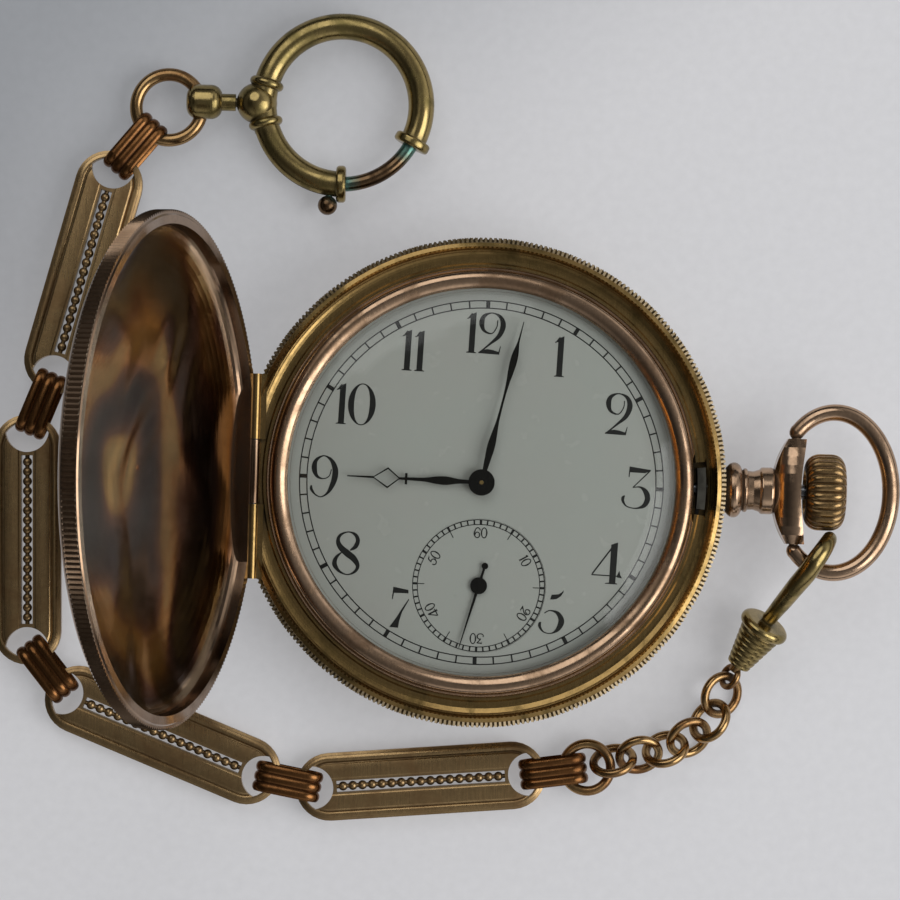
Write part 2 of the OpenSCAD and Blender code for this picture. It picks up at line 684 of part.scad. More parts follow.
module balance_cock() {
    cock_t = bridge_t - 0.2;
    reach = norm(balance_at - cock_foot);
    color(nickel) difference() {
        union() {
            translate([0, 0, bridge_z - 0.1]) linear_extrude(cock_t) {
                translate(balance_at) circle(2.1);
                translate(cock_foot) circle(2);
                translate(cock_foot) rotate(atan2(balance_at[1] - cock_foot[1], balance_at[0] - cock_foot[0]))
                    translate([0, -1.2]) square([reach, 2.4]);
            }
            spot(cock_foot, bridge_z + 0.1) cylinder(h = plate_z - bridge_z - 0.1, r = 1.7);
        }
        spot(balance_at, bridge_z - 1) cylinder(h = 3, r = 0.22, $fn = 32);
    }
}

module mainspring_barrel() {
    color(brass) spot(barrel_at, train_z + barrel_lift) difference() {
        union() {
            linear_extrude(0.5) toothed(barrel_n, barrel_m, at = to_barrel + 180);
            cylinder(h = 1.5, r = barrel_n * barrel_m / 2 - 0.5, $fn = 96);
        }
        translate([0, 0, -1]) cylinder(h = 4, r = 0.5 + run_gap, $fn = 32);
    }
}

// The ratchet wheel with the barrel arbor that it winds
module ratchet_wheel() {
    color(steel) {
        spot(barrel_at, bridge_z - 0.78) linear_extrude(0.5) difference() {
            toothed(40, 0.2, at = to_crown_wheel);
            circle(0.7, $fn = 4);
        }
        spot(barrel_at, bridge_z - 0.9) cylinder(h = 1.4 - (bridge_z - train_z) + 1, r = 0.5, $fn = 32);
        spot(barrel_at, bridge_z - 0.9) cylinder(h = 0.14, r = 1.2, $fn = 32);
    }
}

crown_wheel_at = barrel_at + 7.1 * [cos(to_crown_wheel), sin(to_crown_wheel)];
module crown_wheel() {
    color(steel) spot(crown_wheel_at, bridge_z - 0.78) difference() {
        linear_extrude(0.5) toothed(30, 0.2, at = to_crown_wheel + 186);
        translate([0, 0, -1]) cylinder(h = 4, r = 0.7 + run_gap, $fn = 32);
    }
}

// A wheel's staff between the bridge and the mainplate
module staff(low = 0.1, high = 0.3) {
    cylinder(h = plate_z - train_z + low + high, r = 0.2, $fn = 24);
}

module centre_wheel() {
    color(brass) {
        translate([0, 0, train_z + centre_lift]) wheel(centre_n, train_m, 0.2, at = to_third);
        translate([0, 0, train_z + 0.1]) linear_extrude(0.7) toothed(centre_pinion_n, barrel_m,
            at = to_barrel + 180 / centre_pinion_n);
        translate([0, 0, train_z - 0.3]) cylinder(h = dial_z + 1.2 - train_z + 0.3, r = 0.22, $fn = 32);
        translate([0, 0, train_z + 0.7]) cylinder(h = 1.3, r = 0.5, $fn = 32);
    }
}

module third_wheel() {
    color(brass) {
        spot(third_at, train_z + third_lift) wheel(third_n, train_m, 0.2, at = to_fourth);
        spot(third_at, train_z + centre_lift - 0.1) linear_extrude(0.4) toothed(pinion_n, train_m,
            at = to_third + 180 + 180 / pinion_n);
        spot(third_at, train_z - 0.2) cylinder(h = plate_z - train_z + 0.5, r = 0.18, $fn = 24);
        spot(third_at, train_z + third_lift) cylinder(h = centre_lift - third_lift, r = 0.4, $fn = 24);
    }
}

module fourth_wheel() {
    color(brass) {
        spot(fourth_at, train_z + fourth_lift) wheel(fourth_n, fourth_m, 0.2, at = to_escape);
        spot(fourth_at, train_z + third_lift - 0.1) linear_extrude(0.4) toothed(pinion_n, train_m,
            at = to_fourth + 180 + 180 / pinion_n);
        spot(fourth_at, train_z - 0.2) cylinder(h = dial_z + 0.35 - train_z, r = 0.2, $fn = 24);
        spot(fourth_at, train_z + fourth_lift) cylinder(h = 0.6, r = 0.4, $fn = 24);
    }
}

module escape_wheel() {
    r = 3.05;
    color(steel) {
        spot(escape_at, train_z + escape_lift) linear_extrude(0.2) difference() {
            polygon([for (i = [0:14]) for (k = [[0, 0.84], [6, 0.86], [13.5, 1], [15, 1], [17, 0.84]])
                r * k[1] * [cos(24 * i + k[0]), sin(24 * i + k[0])]]);
            difference() {
                circle(r * 0.72);
                circle(0.7);
                for (i = [0:3]) rotate(90 * i) translate([0, -0.18]) square([r, 0.36]);
            }
        }
        spot(escape_at, train_z + fourth_lift - 0.1) linear_extrude(0.45)
            toothed(escape_pinion_n, fourth_m, at = to_escape + 180 + 180 / escape_pinion_n);
        spot(escape_at, train_z - 0.2) cylinder(h = plate_z - train_z + 0.5, r = 0.17, $fn = 24);
        spot(escape_at, train_z + fourth_lift) cylinder(h = escape_lift - fourth_lift + 0.1, r = 0.3, $fn = 24);
    }
}

module pallet_fork() {
    tail = norm(balance_at - pallet_at) - 1.1;
    color(steel) {
        spot(pallet_at, train_z + escape_lift) rotate(pallet_dir) linear_extrude(0.22) {
            circle(0.6, $fn = 32);
            translate([0, -0.18]) square([tail - 0.5, 0.36]);
            for (s = [-1, 1]) {
                translate([tail - 0.55, s * 0.32 - 0.15]) square([0.7, 0.3]);
                translate([tail - 0.8, s > 0 ? 0 : -0.47]) square([0.3, 0.47]);
                rotate(s * 104) translate([0, -0.2]) square([2.5, 0.4]);
            }
        }
        spot(pallet_at, train_z + escape_lift - 0.1) cylinder(h = plate_z - train_z - escape_lift + 0.4, r = 0.17,
            $fn = 24);
    }
}

module balance_wheel() {
    r = balance_d / 2;
    color(brass) {
        spot(balance_at, train_z + 0.55) linear_extrude(0.6) difference() {
            circle(r, $fn = 96);
            difference() {
                circle(r - 0.6, $fn = 96);
                circle(0.9);
                rotate(20) translate([-r, -0.4]) square([2 * r, 0.8]);
            }
        }
        spot(balance_at, train_z - 0.25) cylinder(h = plate_z - train_z + 0.5, r = 0.18, $fn = 24);
        spot(balance_at, train_z + 1.15) cylinder(h = 0.9, r = 0.85, $fn = 32);
    }
}

module hairspring() {
    turns = 6;
    pitch = 0.42;
    steps = 24;
    spiral = [for (i = [0:turns * steps]) let (a = 360 * i / steps, r = 0.7 + pitch * i / steps) [r, a]];
    color(steel) spot(balance_at, train_z + 0.2) {
        linear_extrude(0.22) polygon(concat([for (p = spiral) p[0] * [cos(p[1]), sin(p[1])]],
            [for (i = [len(spiral) - 1:-1:0]) (spiral[i][0] + 0.09) * [cos(spiral[i][1]), sin(spiral[i][1])]]));
        translate([0.7 + pitch * turns, -0.12, -0.36]) cube([0.3, 0.3, 0.6]);
    }
}

// Motion works in the mainplate's recess under the dial
works_z = plate_top - 0.9;
module cannon_pinion() {
    color(steel) difference() {
        union() {
            translate([0, 0, works_z]) linear_extrude(0.34) toothed(10, motion_m, at = to_minute);
            translate([0, 0, works_z + 0.3]) cylinder(h = dial_z + 1.05 - works_z - 0.3, r = 0.55, $fn = 48);
        }
        translate([0, 0, works_z - 1]) cylinder(h = 6, r = 0.22 + run_gap, $fn = 32);
    }
}

module minute_wheel() {
    color(brass) {
        spot(minute_wheel_at, works_z + 0.04) wheel(30, motion_m, 0.22, at = to_minute + 186, hub = 0.8);
        spot(minute_wheel_at, works_z + 0.2) linear_extrude(0.62) toothed(8, motion_m, at = to_minute + 180);
    }
}

module hour_wheel() {
    color(brass) difference() {
        union() {
            translate([0, 0, works_z + 0.46]) linear_extrude(0.22) toothed(32, motion_m, at = to_minute + 180 / 32);
            translate([0, 0, works_z + 0.46]) cylinder(h = dial_z + 0.5 - works_z - 0.46, r = 0.95, $fn = 48);
        }
        translate([0, 0, works_z - 1]) cylinder(h = 6, r = 0.55 + run_gap, $fn = 48);
    }
}

// Hands, drawn along X and turned to the time
module hour_hand() {
    tip = hour_len;
    bar = tip * 0.575;
    color(ink) translate([0, 0, dial_z + 0.5]) rotate(hour_angle) linear_extrude(hand_t) difference() {
        union() {
            circle(1.3, $fn = 48);
            polygon([[1, -0.2], [tip * 0.3, -0.5], [bar, -0.2], [bar, 0.2], [tip * 0.3, 0.5], [1, 0.2]]);
            translate([bar - 0.1, -0.58]) square([0.3, 1.16]);
            polygon([[bar + 0.1, -0.25], [tip * 0.66, -0.95], [tip * 0.7, -1.05], [tip * 0.76, -0.85],
                [tip * 0.83, -0.25], [tip, 0], [tip * 0.83, 0.25], [tip * 0.76, 0.85], [tip * 0.7, 1.05],
                [tip * 0.66, 0.95], [bar + 0.1, 0.25]]);
        }
        circle(0.55 + run_gap, $fn = 48);
        polygon([[tip * 0.61, 0], [tip * 0.68, -0.6], [tip * 0.71, -0.68], [tip * 0.745, -0.55], [tip * 0.8, 0],
            [tip * 0.745, 0.55], [tip * 0.71, 0.68], [tip * 0.68, 0.6]]);
    }
}

module minute_hand() {
    tip = minute_len;
    color(ink) {
        translate([0, 0, dial_z + 0.9]) rotate(minute_angle) linear_extrude(hand_t) difference() {
            union() {
                circle(1.4, $fn = 48);
                polygon([[1, -0.3], [tip * 0.2, -0.7], [tip * 0.26, -0.62], [tip * 0.45, -0.22], [tip * 0.7, -0.62],
                    [tip * 0.75, -0.5], [tip * 0.86, -0.18], [tip, 0], [tip * 0.86, 0.18], [tip * 0.75, 0.5],
                    [tip * 0.7, 0.62], [tip * 0.45, 0.22], [tip * 0.26, 0.62], [tip * 0.2, 0.7], [1, 0.3]]);
            }
            circle(0.55, $fn = 48);
        }
    }
}

module seconds_hand() {
    color(ink) spot(fourth_at, dial_z + 0.1) rotate(second_angle) linear_extrude(hand_t * 0.8) {
        circle(0.9, $fn = 32);
        polygon([[0.5, -0.16], [second_len, -0.04], [second_len, 0.04], [0.5, 0.16]]);
        polygon([[-2, -0.12], [-0.5, -0.16], [-0.5, 0.16], [-2, 0.12]]);
        translate([-2.2, 0]) circle(0.35, $fn = 24);
    }
}

module screw_at(p, r = 0.75) {
    spot(p, bridge_z - 0.3) difference() {
        cylinder(h = 0.28, r = r, $fn = 32);
        translate([-1, -0.1, -0.1]) cube([2, 0.2, 0.22]);
    }
}

module movement_screws() {
    color(steel) for (p = [[-14.5, 11.5], [16.8, 8.6], [-5, 18.9], [16.8, -8.6], [7.4, -17.6], [12.5, -4.2]])
        screw_at(p);
    color(steel) translate([0, 0, -0.1]) screw_at(cock_foot, 0.9);
}

// Swivel hook: a thick arm from the barrel over the bow's wire, and a thin sprung gate under it
hook_arm = concat([hook_from - 0.45 * barrel_w], [for (p = [[31.9, -12.8, 5.5], [32.8, -11.5, 6.8],
    [33.8, -10, 8.4], [34.8, -8.6, 9.6], [35.6, -7.3, 10.1], [36.4, -6.1, 9.9], [37, -5.2, 9],
    [37.2, -4.9, 7.8], [36.9, -5.3, 6.6], [36.2, -6.3, 5.7]]) p + [chain_x, 0, 0]]);
gate_line = [for (p = [[32, -13.2, 3.7], [32.9, -11.8, 4], [34, -10, 4.4], [35.1, -8.3, 4.6],
    [36.1, -6.6, 4.6]]) p + [chain_x, 0, 0]];
module swivel_hook() {
    gauge = [0.8, 0.85, 0.95, 1.02, 1.05, 1.02, 0.95, 0.85, 0.75, 0.65, 0.55];
    color(olive) {
        sweep(hook_arm, gauge, 12);
        translate(hook_from) multmatrix(barrel_frame) translate([0, 0, -0.9]) cylinder(h = 2.7, r = 0.62, $fn = 32);
    }
}

module hook_gate() {
    color(bronze) sweep(gate_line, [0.25, 0.38, 0.4, 0.38, 0.32], 8);
}

module swivel_barrel() {
    r = barrel_d / 2;
    ribs = 7;
    taper = (r - 0.45 - 1.3) / ribs;
    step = (barrel_len - 1.3) / ribs;
    color(olive) translate(hook_from) multmatrix(barrel_frame) rotate_extrude($fn = 64)
        polygon(concat([[0.62 + run_gap, 0]], arc([r - 0.6, 0.65], 0.62, -80, 80, 8),
            [for (i = [0:ribs - 1]) for (k = [[0, 0.05], [-0.22, 0.3], [0, 0.6], [0, 0.95]])
                [r - 0.45 - taper * (i + k[1]) + k[0], 1.3 + step * (i + k[1])]],
            [[1.2, barrel_len], [0.62 + run_gap, barrel_len]]));
}

module swivel_eye() {
    color(bronze) {
        translate(hook_from) multmatrix(barrel_frame) translate([0, 0, 2]) cylinder(h = barrel_len - 1.1,
            r = 0.62, $fn = 32);
        translate(eye_at) rotate([0, 0, heading(0)]) rotate([tilts[0] + 90, 0, 0])
            wire_ring(eye_r, 0.7);
    }
}

// Small rings: alternate ones lean over, so that each stands across the next
function heading(i) = let (d = places[min(i + 2, 7)] - places[i]) atan2(d[1], d[0]);
function ring_z(i) = ring_d / 2 * abs(sin(tilts[i])) + ring_wire / 2;
module small_ring(i) {
    color(bronze) translate([rings[i][0], rings[i][1], ring_z(i)]) rotate([0, 0, heading(i)])
        rotate([tilts[i], 0, 0]) wire_ring(ring_d / 2, ring_wire);
}
module ring_1() { small_ring(0); }
module ring_2() { small_ring(1); }
module ring_3() { small_ring(2); }
module ring_4() { small_ring(3); }
module ring_5() { small_ring(4); }
module ring_6() { small_ring(5); }
module ring_7() {
    color(bronze) translate([rings[6][0], rings[6][1], chain_z + 0.35])
        wire_ring(jump_d / 2, jump_wire);
}

// A banded connector between two points: a flat oval loop of ribbed band
module connector(from, to) {
    middle = (from + to) / 2;
    high = band_inside + 2 * band_t;
    color(bronze) translate([middle[0], middle[1], chain_z]) rotate(atan2(to[1] - from[1], to[0] - from[0]))
        rotate([90, 0, 0]) {
            band(band_w, 0.24, high);
            for (lane = [-1, 0, 1]) translate([0, 0, lane * band_w / 3]) {
                band(band_w / 3 - 0.14, 0.1, high);
                band(band_w / 3 - 0.42, 0, high);
            }
        }
}
module band(wide, inset, high) {
    translate([0, 0, -wide / 2]) linear_extrude(wide) difference() {
        band_outline(inset, high);
        band_outline(band_t, high);
    }
}
module band_outline(inset, high) {
    r = high / 2 - inset;
    straight = band_len / 2 - high / 2;
    polygon(concat(arc([straight, 0], r, -90, 90, 10), arc([-straight, 0], r, 90, 270, 10)));
}
ring_grip = rings[6] + 0.45 * unit(seat(0, -1) - rings[6]);
end_grip = end_at + 1.75 * unit(seat(3, 1) - end_at);
module connector_1() { connector(ring_grip, seat(0, -1)); }
module connector_2() { connector(seat(0, 1), seat(1, -1)); }
module connector_3() { connector(seat(1, 1), seat(2, -1)); }
module connector_4() { connector(seat(2, 1), seat(3, -1)); }
module connector_5() { connector(seat(3, 1), end_grip); }

// A plate link: a long plate with rounded ends, a hole at each end and a beaded slot
module plate_outline(inset) {
    r = plate_w / 2 - inset;
    half = plate_len / 2 - plate_w / 2;
    polygon(concat(arc([half, 0], r, -90, 90, 16), arc([-half, 0], r, 90, 270, 16)));
}
module end_hole(side) {
    intersection() {
        translate([side * (plate_len / 2 - 1.7), 0]) circle(2.35, $fn = 48);
        plate_outline(0.75);
    }
}
module plate_link(i) {
    slot_l = beads * bead_pitch + 0.35;
    slot_w = bead_d + 0.24;
    color(bronze) translate([plates[i][0], plates[i][1], chain_z - plate_t / 2]) rotate(plates[i][2]) {
        difference() {
            union() {
                linear_extrude(plate_t - 0.35) plate_outline(0);
                linear_extrude(plate_t - 0.15) plate_outline(0.35);
                linear_extrude(plate_t) plate_outline(1.1);
            }
            translate([0, 0, -1]) linear_extrude(4) {
                end_hole(1);
                end_hole(-1);
                translate([-slot_l / 2, -slot_w / 2]) square([slot_l, slot_w]);
            }
        }
        translate([-slot_l / 2 - 0.2, 0, plate_t / 2]) rotate([0, 90, 0])
            cylinder(h = slot_l + 0.4, r = 0.24, $fn = 24);
        for (k = [0:beads - 1]) translate([(k - (beads - 1) / 2) * bead_pitch, 0, plate_t / 2])
            rotate([0, 90, 0]) sphere(d = bead_d, $fn = 24);
    }
}
module plate_link_1() { plate_link(0); }
module plate_link_2() { plate_link(1); }
module plate_link_3() { plate_link(2); }
module plate_link_4() { plate_link(3); }

module end_ring() {
    color(bronze) translate([end_at[0], end_at[1], chain_z]) wire_ring(end_r, end_wire);
}

// Ball swivel: a fat bead that rides on the end ring, a neck and a shank in the bolt ring's ball
big_ball_out = 0.75;
big_ball_x = bolt_at[0] - bolt_r - big_ball_out;
big_ball_r = 2.2;
module ball_swivel() {
    neck_from = bead_at + 1;
    color(olive) difference() {
        union() {
            translate([bead_at, bolt_at[1], bolt_z - 0.2]) rotate([0, 90, 0]) rotate_extrude($fn = 64)
                polygon(concat([[0, -1.93]], arc([bead_r - 1.2, -0.73], 1.2, -90, 0, 8),
                    arc([bead_r - 1.2, 0.73], 1.2, 0, 90, 8), [[0, 1.93]]));
            translate([neck_from, bolt_at[1], bolt_z - 0.2]) rotate([0, 90, 0])
                cylinder(h = big_ball_x - big_ball_r - 0.08 - neck_from, r = 0.92, $fn = 32);
            translate([neck_from, bolt_at[1], bolt_z - 0.2]) rotate([0, 90, 0])
                cylinder(h = big_ball_x - 0.6 - neck_from, r = 0.5, $fn = 32);
        }
        translate([end_at[0], end_at[1], chain_z]) wire_ring(end_r, end_wire + 0.3);
    }
}

// Bolt ring: a tube bent round, open between two flanges, where the sprung bolt closes it
module flange_at(a) {
    edge = 0.35;
    rotate(a) translate([bolt_r, 0, 0]) rotate([90, 0, 0]) translate([0, 0, -0.52]) rotate_extrude($fn = 48)
        polygon(concat([[0, 0]], arc([2 - edge, edge], edge, -90, 0, 4), arc([2 - edge, 1.05 - edge], edge, 0, 90, 4),
            [[0, 1.05]]));
}
module bolt_ring() {
    bore = bolt_wire / 2 + 0.06;
    color(olive) translate([bolt_at[0], bolt_at[1], bolt_z]) difference() {
        union() {
            rotate(gate_from) rotate_extrude(angle = 360 + gate_to - gate_from, $fn = 128) translate([bolt_r, 0])
                circle(bolt_tube / 2, $fn = 32);
            flange_at(gate_from + 1.5);
            flange_at(gate_to + 1.5);
            translate([-bolt_r - big_ball_out, 0, -0.2]) sphere(r = big_ball_r, $fn = 64);
            for (a = [165.5, 194.5]) rotate(a) translate([bolt_r, 0, 0]) rotate([90, 0, 0])
                rotate_extrude($fn = 48) translate([bolt_tube / 2 - 0.05, 0]) circle(0.5, $fn = 24);
        }
        rotate(gate_to - 76) rotate_extrude(angle = 82, $fn = 128) translate([bolt_r, 0]) circle(bore, $fn = 32);
        rotate(gate_from - 6) rotate_extrude(angle = 11, $fn = 128) translate([bolt_r, 0]) circle(bore, $fn = 32);
        rotate(knob_at - 63.5) rotate_extrude(angle = 67, $fn = 128) translate([bolt_r, -0.42]) square([3, 0.84]);
        translate([-bolt_r - 4.5, 0, -0.2]) rotate([0, 90, 0]) cylinder(h = 4.4, r = 0.5 + run_gap, $fn = 32);
    }
}

module bolt_slide() {
    color(bronze) translate([bolt_at[0], bolt_at[1], bolt_z]) {
        rotate(gate_to - 12) rotate_extrude(angle = gate_from - gate_to + 13, $fn = 128) translate([bolt_r, 0])
            circle(bolt_wire / 2, $fn = 32);
        rotate(knob_at) translate([bolt_r + 0.3, 0, 0]) rotate([0, 90, 0]) cylinder(h = 1.6, r = 0.36, $fn = 24);
        rotate(knob_at) translate([bolt_r + 2.4, 0, 0]) sphere(r = 1.05, $fn = 40);
    }
}

case_centre();
front_lid();
back_lid();
cuvette();
bezel();
crystal();
front_hinge_pin();
back_hinge_pin();
pendant();
bow();
crown();
winding_stem();
lock_spring();
dial();
mainplate();
barrel_bridge();
train_bridge();
balance_cock();
mainspring_barrel();
ratchet_wheel();
crown_wheel();
winding_arbor();
centre_wheel();
third_wheel();
fourth_wheel();
escape_wheel();
pallet_fork();
balance_wheel();
hairspring();
cannon_pinion();
minute_wheel();
hour_wheel();
hour_hand();
minute_hand();
seconds_hand();
movement_screws();
swivel_hook();
hook_gate();
swivel_barrel();
swivel_eye();
ring_1();
ring_2();
ring_3();
ring_4();
ring_5();
ring_6();
ring_7();
connector_1();
connector_2();
connector_3();
connector_4();
connector_5();
plate_link_1();
plate_link_2();
plate_link_3();
plate_link_4();
end_ring();
ball_swivel();
bolt_ring();
bolt_slide();
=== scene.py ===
# %% [markdown]
# # An open full hunter pocket watch and its guard chain
# The watch lies on its back lid with the front lid open, and a chain of plate links is hooked to its bow.
# The solids come from the CAD frame, in metres. This file gives them their finish, prints the dial and
# makes again, rounder, the few pieces whose curves the solids could only give in facets. Sizes are written
# in millimetres and turned to metres by MM.

# %% Frame and units
import math
import bmesh
import bpy
from mathutils import Matrix, Vector


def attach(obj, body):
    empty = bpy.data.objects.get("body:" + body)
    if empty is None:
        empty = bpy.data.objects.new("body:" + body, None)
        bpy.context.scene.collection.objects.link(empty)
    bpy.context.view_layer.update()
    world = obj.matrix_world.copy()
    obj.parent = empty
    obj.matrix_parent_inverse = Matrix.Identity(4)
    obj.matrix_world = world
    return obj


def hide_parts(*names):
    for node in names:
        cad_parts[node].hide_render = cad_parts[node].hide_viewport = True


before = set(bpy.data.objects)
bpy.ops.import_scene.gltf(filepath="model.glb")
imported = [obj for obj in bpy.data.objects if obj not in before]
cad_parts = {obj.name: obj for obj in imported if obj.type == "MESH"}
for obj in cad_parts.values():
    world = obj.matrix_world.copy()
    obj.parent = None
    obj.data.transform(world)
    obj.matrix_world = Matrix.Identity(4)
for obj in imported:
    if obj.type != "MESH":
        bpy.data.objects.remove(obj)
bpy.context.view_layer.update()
MM = 0.001

# %% [markdown]
# ## The camera
# The photograph looks straight down from well above the watch, slightly turned. A long lens from 428 mm
# above the table gives the same flat view, and a lens shift keeps the watch where it lies in the frame.


# %% Camera above the dial
def in_scene(name, data):
    made = bpy.data.objects.new(name, data)
    bpy.context.scene.collection.objects.link(made)
    return made


EYE, EYE_TURN, LENS = (-3.369, -6.505, 428), 1.6, 157.84
eye_data = bpy.data.cameras.new("photo_eye")
eye_data.lens, eye_data.sensor_width = LENS, 36
eye_data.shift_x, eye_data.shift_y = 0.00222, 0.10333
eye_data.clip_start, eye_data.clip_end = 0.01, 20
eye = in_scene("photo_eye", eye_data)
eye.location = Vector(EYE) * MM
eye.rotation_euler = (0, 0, math.radians(EYE_TURN))
bpy.context.scene.camera = eye
print("camera height in mm", round(eye.location.z / MM))

# %% [markdown]
# ## Colours and nodes
# Colours are written as sRGB hex, as they are read off a picture, and one function turns them to the
# linear values that the shaders work in. Two digits alone stand for a grey. One small function adds a node
# of any kind, for shaders and for geometry, with its settings and whatever comes into it. Where a node is
# given as an input, its first output in use is meant, which keeps the lines short enough to read.


# %% Helpers for colours and nodes
def linear(code):
    if not isinstance(code, str):
        return code
    code = "#" + code * 3 if len(code) == 2 else code
    parts = [int(code[i:i + 2], 16) / 255 for i in (1, 3, 5)]
    return [p / 12.92 if p <= 0.04045 else ((p + 0.055) / 1.055) ** 2.4 for p in parts] + [1.0]


def wire(tree, node, inputs):
    """Links or sets a node's inputs."""
    for key, value in inputs.items():
        if isinstance(value, bpy.types.Node):
            value = next(socket for socket in value.outputs if socket.enabled)
        if isinstance(value, bpy.types.NodeSocket):
            tree.links.new(value, node.inputs[key])
        else:
            node.inputs[key].default_value = linear(value)


def add(tree, kind, inputs=None, stops=(), **settings):
    """Adds a node; stops are the places and colours of a colour ramp."""
    made = tree.nodes.new(kind)
    for key, value in settings.items():
        setattr(made, key, value)
    wire(tree, made, inputs or {})
    for at, code in stops:
        bar = made.color_ramp.elements
        stop = bar[0] if at == 0 else bar[-1] if at == stops[-1][0] else bar.new(at)
        stop.position, stop.color = at, linear(code)
    return made


def bare_finish(name):
    """A new material, its node tree, its shader and the piece's own coordinates in millimetres."""
    finish = bpy.data.materials.new(name)
    finish.use_nodes = True
    tree = finish.node_tree
    place = add(tree, "ShaderNodeTexCoord")
    mm = add(tree, "ShaderNodeVectorMath", {0: place.outputs["Object"], "Scale": 1 / MM}, operation="SCALE")
    return finish, tree, tree.nodes["Principled BSDF"], mm


print("white is", linear("#FFFFFF")[:3])

# %% [markdown]
# ## Table, lamps and surroundings
# Polished metal shows what stands round it, so the studio matters more than the lamps. The world is a
# light tent: a bright band half way up, strongest at the right, dark below and dim overhead, where the
# photographer stands. The table is a pale card with painted shade that darkens it towards the upper left, as
# in the photograph. It also glows a little, which is painted light, so that shadows stay faint.

# %% Table
TABLE_HALF, GLOW = 160, 0.33
card, tree, shade, mm = bare_finish("pale_lilac_card")
to_lower_right = add(tree, "ShaderNodeVectorMath", {0: mm, 1: (0.62, -0.78, 0)}, operation="DOT_PRODUCT")
# Painted shade: the card darkens towards the upper left
painted_shade_fade = add(tree, "ShaderNodeMapRange", {0: to_lower_right, 1: -74, 2: -18}, interpolation_type="SMOOTHSTEP")
soft = add(tree, "ShaderNodeMix", {0: painted_shade_fade, 6: "#B3B6BB", 7: "#F6F6F9"}, data_type="RGBA")
grain = add(tree, "ShaderNodeTexNoise", {"Vector": mm, "Scale": 0.9, "Detail": 3.0})
speck = add(tree, "ShaderNodeMix", {0: grain, 6: "#F4F4F4", 7: "#FFFFFF"}, data_type="RGBA")
card_with_painted_shade = add(tree, "ShaderNodeMix", {0: 1.0, 6: soft, 7: speck}, data_type="RGBA", blend_type="MULTIPLY")
# Painted light: half the card's colour is lit by the lamps, and the card glows with its colour at GLOW, so
# shadows stay faint
lit_above = add(tree, "ShaderNodeVectorMath", {0: card_with_painted_shade, "Scale": 0.5}, operation="SCALE")
wire(tree, shade, {"Base Color": lit_above, "Emission Color": card_with_painted_shade, "Emission Strength": GLOW,
                   "Roughness": 0.75, "Specular IOR Level": 0.2})
table_mesh = bpy.data.meshes.new("table")
corners = [(x * TABLE_HALF * MM, y * TABLE_HALF * MM, 0) for x, y in ((-1, -1), (1, -1), (1, 1), (-1, 1))]
table_mesh.from_pydata(corners, [], [(0, 1, 2, 3)])
table_mesh.materials.append(card)
table = in_scene("table", table_mesh)
print("table", table_mesh.name)

# %% World
HEIGHT_GREYS = ((0, 0.03), (0.14, 0.08), (0.32, 0.48), (0.56, 0.42), (0.72, 0.2), (0.86, 0.15), (1, 0.16))
world = bpy.data.worlds.new("light_tent")
world.use_nodes = True
tree = world.node_tree
tree.nodes.clear()
way = add(tree, "ShaderNodeTexCoord").outputs["Generated"]
height = add(tree, "ShaderNodeSeparateXYZ", {0: way}).outputs["Z"]
dome = add(tree, "ShaderNodeValToRGB", {0: height},
           stops=[(at, (grey, grey, grey * 1.02, 1)) for at, grey in HEIGHT_GREYS])
to_right = add(tree, "ShaderNodeVectorMath", {0: way, 1: (0.9, -0.3, 0.1)}, operation="DOT_PRODUCT")
window = add(tree, "ShaderNodeMapRange", {0: to_right, 1: -0.5, 2: 0.8, 3: 0.16, 4: 1.9},
             interpolation_type="SMOOTHSTEP")
level = add(tree, "ShaderNodeVectorMath", {0: dome, "Scale": window}, operation="SCALE")
tent = add(tree, "ShaderNodeBackground", {"Color": level, "Strength": 1.0})
plain = add(tree, "ShaderNodeBackground", {"Color": "#C9CACF", "Strength": 1.0})
path = add(tree, "ShaderNodeLightPath").outputs["Is Camera Ray"]
seen = add(tree, "ShaderNodeMixShader", {0: path, 1: tent, 2: plain})
add(tree, "ShaderNodeOutputWorld", {0: seen})
bpy.context.scene.world = world
bpy.context.scene.view_settings.view_transform = "Standard"
print("world", world.name)

# %% Lamps
for name, spot, size, power in (("key", (330, -90, 330), 380, 1.12), ("fill", (-120, 300, 380), 420, 0.6)):
    lamp_data = bpy.data.lights.new(name, "AREA")
    lamp_data.shape, lamp_data.size, lamp_data.energy = "DISK", size * MM, power
    lamp = in_scene(name, lamp_data)
    lamp.location = Vector(spot) * MM
    lamp.rotation_euler = (-Vector(spot)).to_track_quat("-Z", "Y").to_euler()

# %% [markdown]
# ## Marks that belong to single pieces
# The plate links are stamped strips with a rolled edge and a groove that holds soot. Modelling the groove
# would need a fine mesh for a mark of 0.1 mm, so it is drawn from the distance to the plate's middle line.
# The dark groove, slot and rolled edge are soot together with painted shade.
# The inside of the front lid has tarnished in curved bands, which also stand for swirling reflections in its
# polished bowl, so they are tarnish and painted reflection together. They are rings round a point off the
# lid, bent by noise, and they show only where the surface looks out of the lid's mouth. Towards the hinge
# they are darkened as painted shade.


# %% Plate grooves
# Soot and painted shade across a plate: dark in the slot, in the groove and at the rolled edge
SOOT_AND_SHADE = ((0, "8C"), (0.2, "8C"), (0.24, "00"), (0.6, "00"), (0.64, "A0"), (0.68, "00"), (0.84, "00"),
        (0.92, "90"))
RELIEF = ((0, "C8"), (0.2, "C8"), (0.24, "DA"), (0.4, "E8"), (0.6, "D2"), (0.645, "96"), (0.69, "D2"),
          (0.78, "E4"), (0.92, "7A"))


def polar(degrees):
    return Vector((math.cos(math.radians(degrees)), math.sin(math.radians(degrees))))


